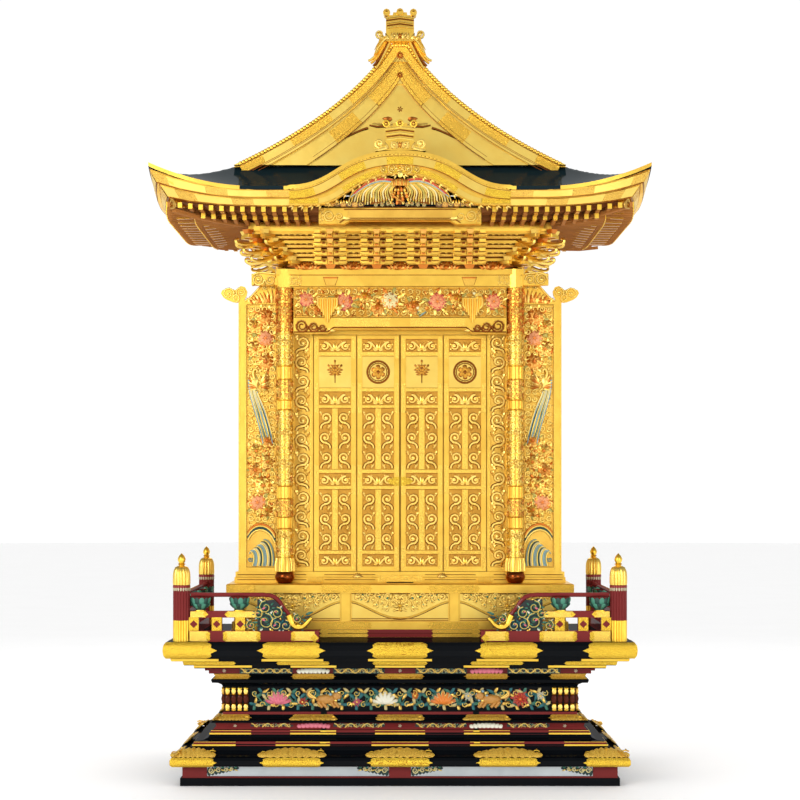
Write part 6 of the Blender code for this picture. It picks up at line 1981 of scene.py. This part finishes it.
def make_stage(context):
    """The camera, the floor, the surroundings and the lights."""
    scene = context.scene
    data = bpy.data.cameras.new("camera")
    data.lens, data.sensor_width, data.shift_y = 96.9, 36.0, 0.115
    camera = bpy.data.objects.new("camera", data)
    camera.location, camera.rotation_euler = (0, -8.88, 1.139), (pi / 2, 0, 0)
    scene.collection.objects.link(camera)
    scene.camera = camera
    bm = bmesh.new()
    bmesh.ops.create_circle(bm, cap_ends=True, segments=64, radius=40)
    mesh = bpy.data.meshes.new("floor")
    bm.to_mesh(mesh)
    bm.free()
    tree, shader, place = surface("pale_floor", Roughness=0.7)
    mottle = add(tree, "TexNoise", {"Vector": place, "Scale": 2.0})
    tone = between(tree, mottle.outputs["Fac"], linear("#FBFBFB"), linear("#FFFFFF"))
    tree.links.new(tone, shader.inputs["Base Color"])
    mesh.materials.append(bpy.data.materials["pale_floor"])
    floor = bpy.data.objects.new("floor", mesh)
    scene.collection.objects.link(floor)
    scene.view_settings.view_transform = "Standard"
    world = bpy.data.worlds.new("surroundings")
    world.use_nodes = True
    sky = world.node_tree
    height = add(sky, "SeparateXYZ", {"Vector": add(sky, "TexCoord").outputs["Generated"]}).outputs["Z"]
    glow = add(sky, "MapRange", {"Value": height, "From Min": 0.02, "From Max": 0.75, "To Min": 0.8,
        "To Max": 0.26})
    shiny = add(sky, "LightPath").outputs["Is Glossy Ray"]
    strength = add(sky, "MapRange", {"Value": shiny, "To Min": 1.03, "To Max": glow.outputs["Result"]})
    backdrop = sky.nodes["Background"]
    backdrop.inputs["Color"].default_value = (1, 1, 1, 1)
    sky.links.new(strength.outputs["Result"], backdrop.inputs["Strength"])
    scene.world = world
    for name, place, size, power in (("key", (-3.4, -6.0, 2.6), 2.4, 150),
            ("fill", (3.6, -6.5, 1.6), 2.4, 80), ("back", (0, 4.5, 5.0), 4.0, 90)):
        lamp = bpy.data.lights.new(name, "AREA")
        lamp.size, lamp.energy = size, power
        obj = bpy.data.objects.new(name, lamp)
        obj.location = place
        obj.rotation_euler = (Vector((0, 0, 1.4)) - Vector(place)).to_track_quat("-Z", "Y").to_euler()
        scene.collection.objects.link(obj)


class AltarStage(bpy.types.Operator):
    """Set up the camera, the plain floor, the pale surroundings and the soft lights"""
    bl_idname = "altar.stage"
    bl_label = "Stage"

    def execute(self, context):
        make_stage(context)
        return {"FINISHED"}


class AltarFinishes(bpy.types.Operator):
    """Make the finishes and give every frame piece its own"""
    bl_idname = "altar.finishes"
    bl_label = "Finishes"

    def execute(self, context):
        make_finishes(context.scene.altar_colours)
        finish_frame()
        return {"FINISHED"}


class AltarDaisFittings(bpy.types.Operator):
    """Nail the gilt metal fittings to the dais's mouldings"""
    bl_idname = "altar.dais_fittings"
    bl_label = "Dais fittings"

    def execute(self, context):
        make_dais_fittings(context.scene.altar_sizes)
        return {"FINISHED"}


class AltarDaisCarving(bpy.types.Operator):
    """Carve the waist, the scroll bands and the foot panels"""
    bl_idname = "altar.dais_carving"
    bl_label = "Dais carving"

    def execute(self, context):
        make_dais_carving()
        return {"FINISHED"}


class AltarRailing(bpy.types.Operator):
    """Turn the posts and finials, and dress the rails"""
    bl_idname = "altar.railing"
    bl_label = "Railing"

    def execute(self, context):
        make_railing(context.scene.altar_sizes)
        return {"FINISHED"}


class AltarBase(bpy.types.Operator):
    """Dress the shrine's base, ledge and sill"""
    bl_idname = "altar.base"
    bl_label = "Shrine base"

    def execute(self, context):
        make_base()
        return {"FINISHED"}


class AltarColumns(bpy.types.Operator):
    """Turn the columns, and wind the front pair with carving"""
    bl_idname = "altar.columns"
    bl_label = "Columns"

    def execute(self, context):
        make_columns()
        return {"FINISHED"}


class AltarDoors(bpy.types.Operator):
    """Carve the four door leaves"""
    bl_idname = "altar.doors"
    bl_label = "Doors"

    def execute(self, context):
        make_doors(context.scene.altar_sizes)
        return {"FINISHED"}


class AltarJambs(bpy.types.Operator):
    """Carve the strips beside and over the doors"""
    bl_idname = "altar.jambs"
    bl_label = "Jambs"

    def execute(self, context):
        make_jambs(context.scene.altar_sizes)
        return {"FINISHED"}


class AltarWings(bpy.types.Operator):
    """Carve and paint the tall side wings"""
    bl_idname = "altar.wings"
    bl_label = "Wings"

    def execute(self, context):
        make_wings()
        return {"FINISHED"}


class AltarBeams(bpy.types.Operator):
    """Carve the beams and the painted frieze over the doors"""
    bl_idname = "altar.beams"
    bl_label = "Beams"

    def execute(self, context):
        make_beams()
        return {"FINISHED"}


class AltarBrackets(bpy.types.Operator):
    """Build up the four tiers of brackets"""
    bl_idname = "altar.brackets"
    bl_label = "Brackets"

    def execute(self, context):
        make_brackets()
        return {"FINISHED"}


class AltarEaves(bpy.types.Operator):
    """Lay the eave boards and the two rows of rafters"""
    bl_idname = "altar.eaves"
    bl_label = "Eaves"

    def execute(self, context):
        make_eaves(context.scene.altar_sizes)
        return {"FINISHED"}


class AltarWave(bpy.types.Operator):
    """Dress the undulating gable and carve its bird"""
    bl_idname = "altar.wave"
    bl_label = "Front wave"

    def execute(self, context):
        make_wave()
        return {"FINISHED"}


class AltarGables(bpy.types.Operator):
    """Dress the stepped gables and the ridge ends"""
    bl_idname = "altar.gables"
    bl_label = "Gables"

    def execute(self, context):
        make_gables()
        return {"FINISHED"}


class AltarRoof(bpy.types.Operator):
    """Lay the roof's smooth sheets"""
    bl_idname = "altar.roof"
    bl_label = "Roof"

    def execute(self, context):
        make_roof()
        return {"FINISHED"}


OPERATORS = (
    AltarFinishes, AltarDaisFittings, AltarDaisCarving, AltarRailing, AltarBase,
    AltarColumns, AltarDoors, AltarJambs, AltarWings, AltarBeams,
    AltarBrackets, AltarEaves, AltarWave, AltarGables, AltarRoof,
    AltarStage,
)


class AltarPanel(bpy.types.Panel):
    """The altar's steps, in the order that they are run"""
    bl_idname = "VIEW3D_PT_altar"
    bl_label = "Temple Altar"
    bl_space_type = "VIEW_3D"
    bl_region_type = "UI"
    bl_category = "Altar"

    def draw(self, context):
        for group in (context.scene.altar_sizes, context.scene.altar_colours):
            for name in type(group).__annotations__:
                self.layout.prop(group, name)
        for step in OPERATORS:
            self.layout.operator(step.bl_idname)


CLASSES = (AltarSizes, AltarColours, *OPERATORS, AltarPanel)


def register():
    for each in CLASSES:
        bpy.utils.register_class(each)
    bpy.types.Scene.altar_sizes = PointerProperty(type=AltarSizes)
    bpy.types.Scene.altar_colours = PointerProperty(type=AltarColours)


def unregister():
    del bpy.types.Scene.altar_sizes
    del bpy.types.Scene.altar_colours
    for each in reversed(CLASSES):
        bpy.utils.unregister_class(each)


def main():
    register()
    for step in OPERATORS:
        getattr(bpy.ops.altar, step.bl_idname.split(".")[1])()


if __name__ == "__main__":
    main()
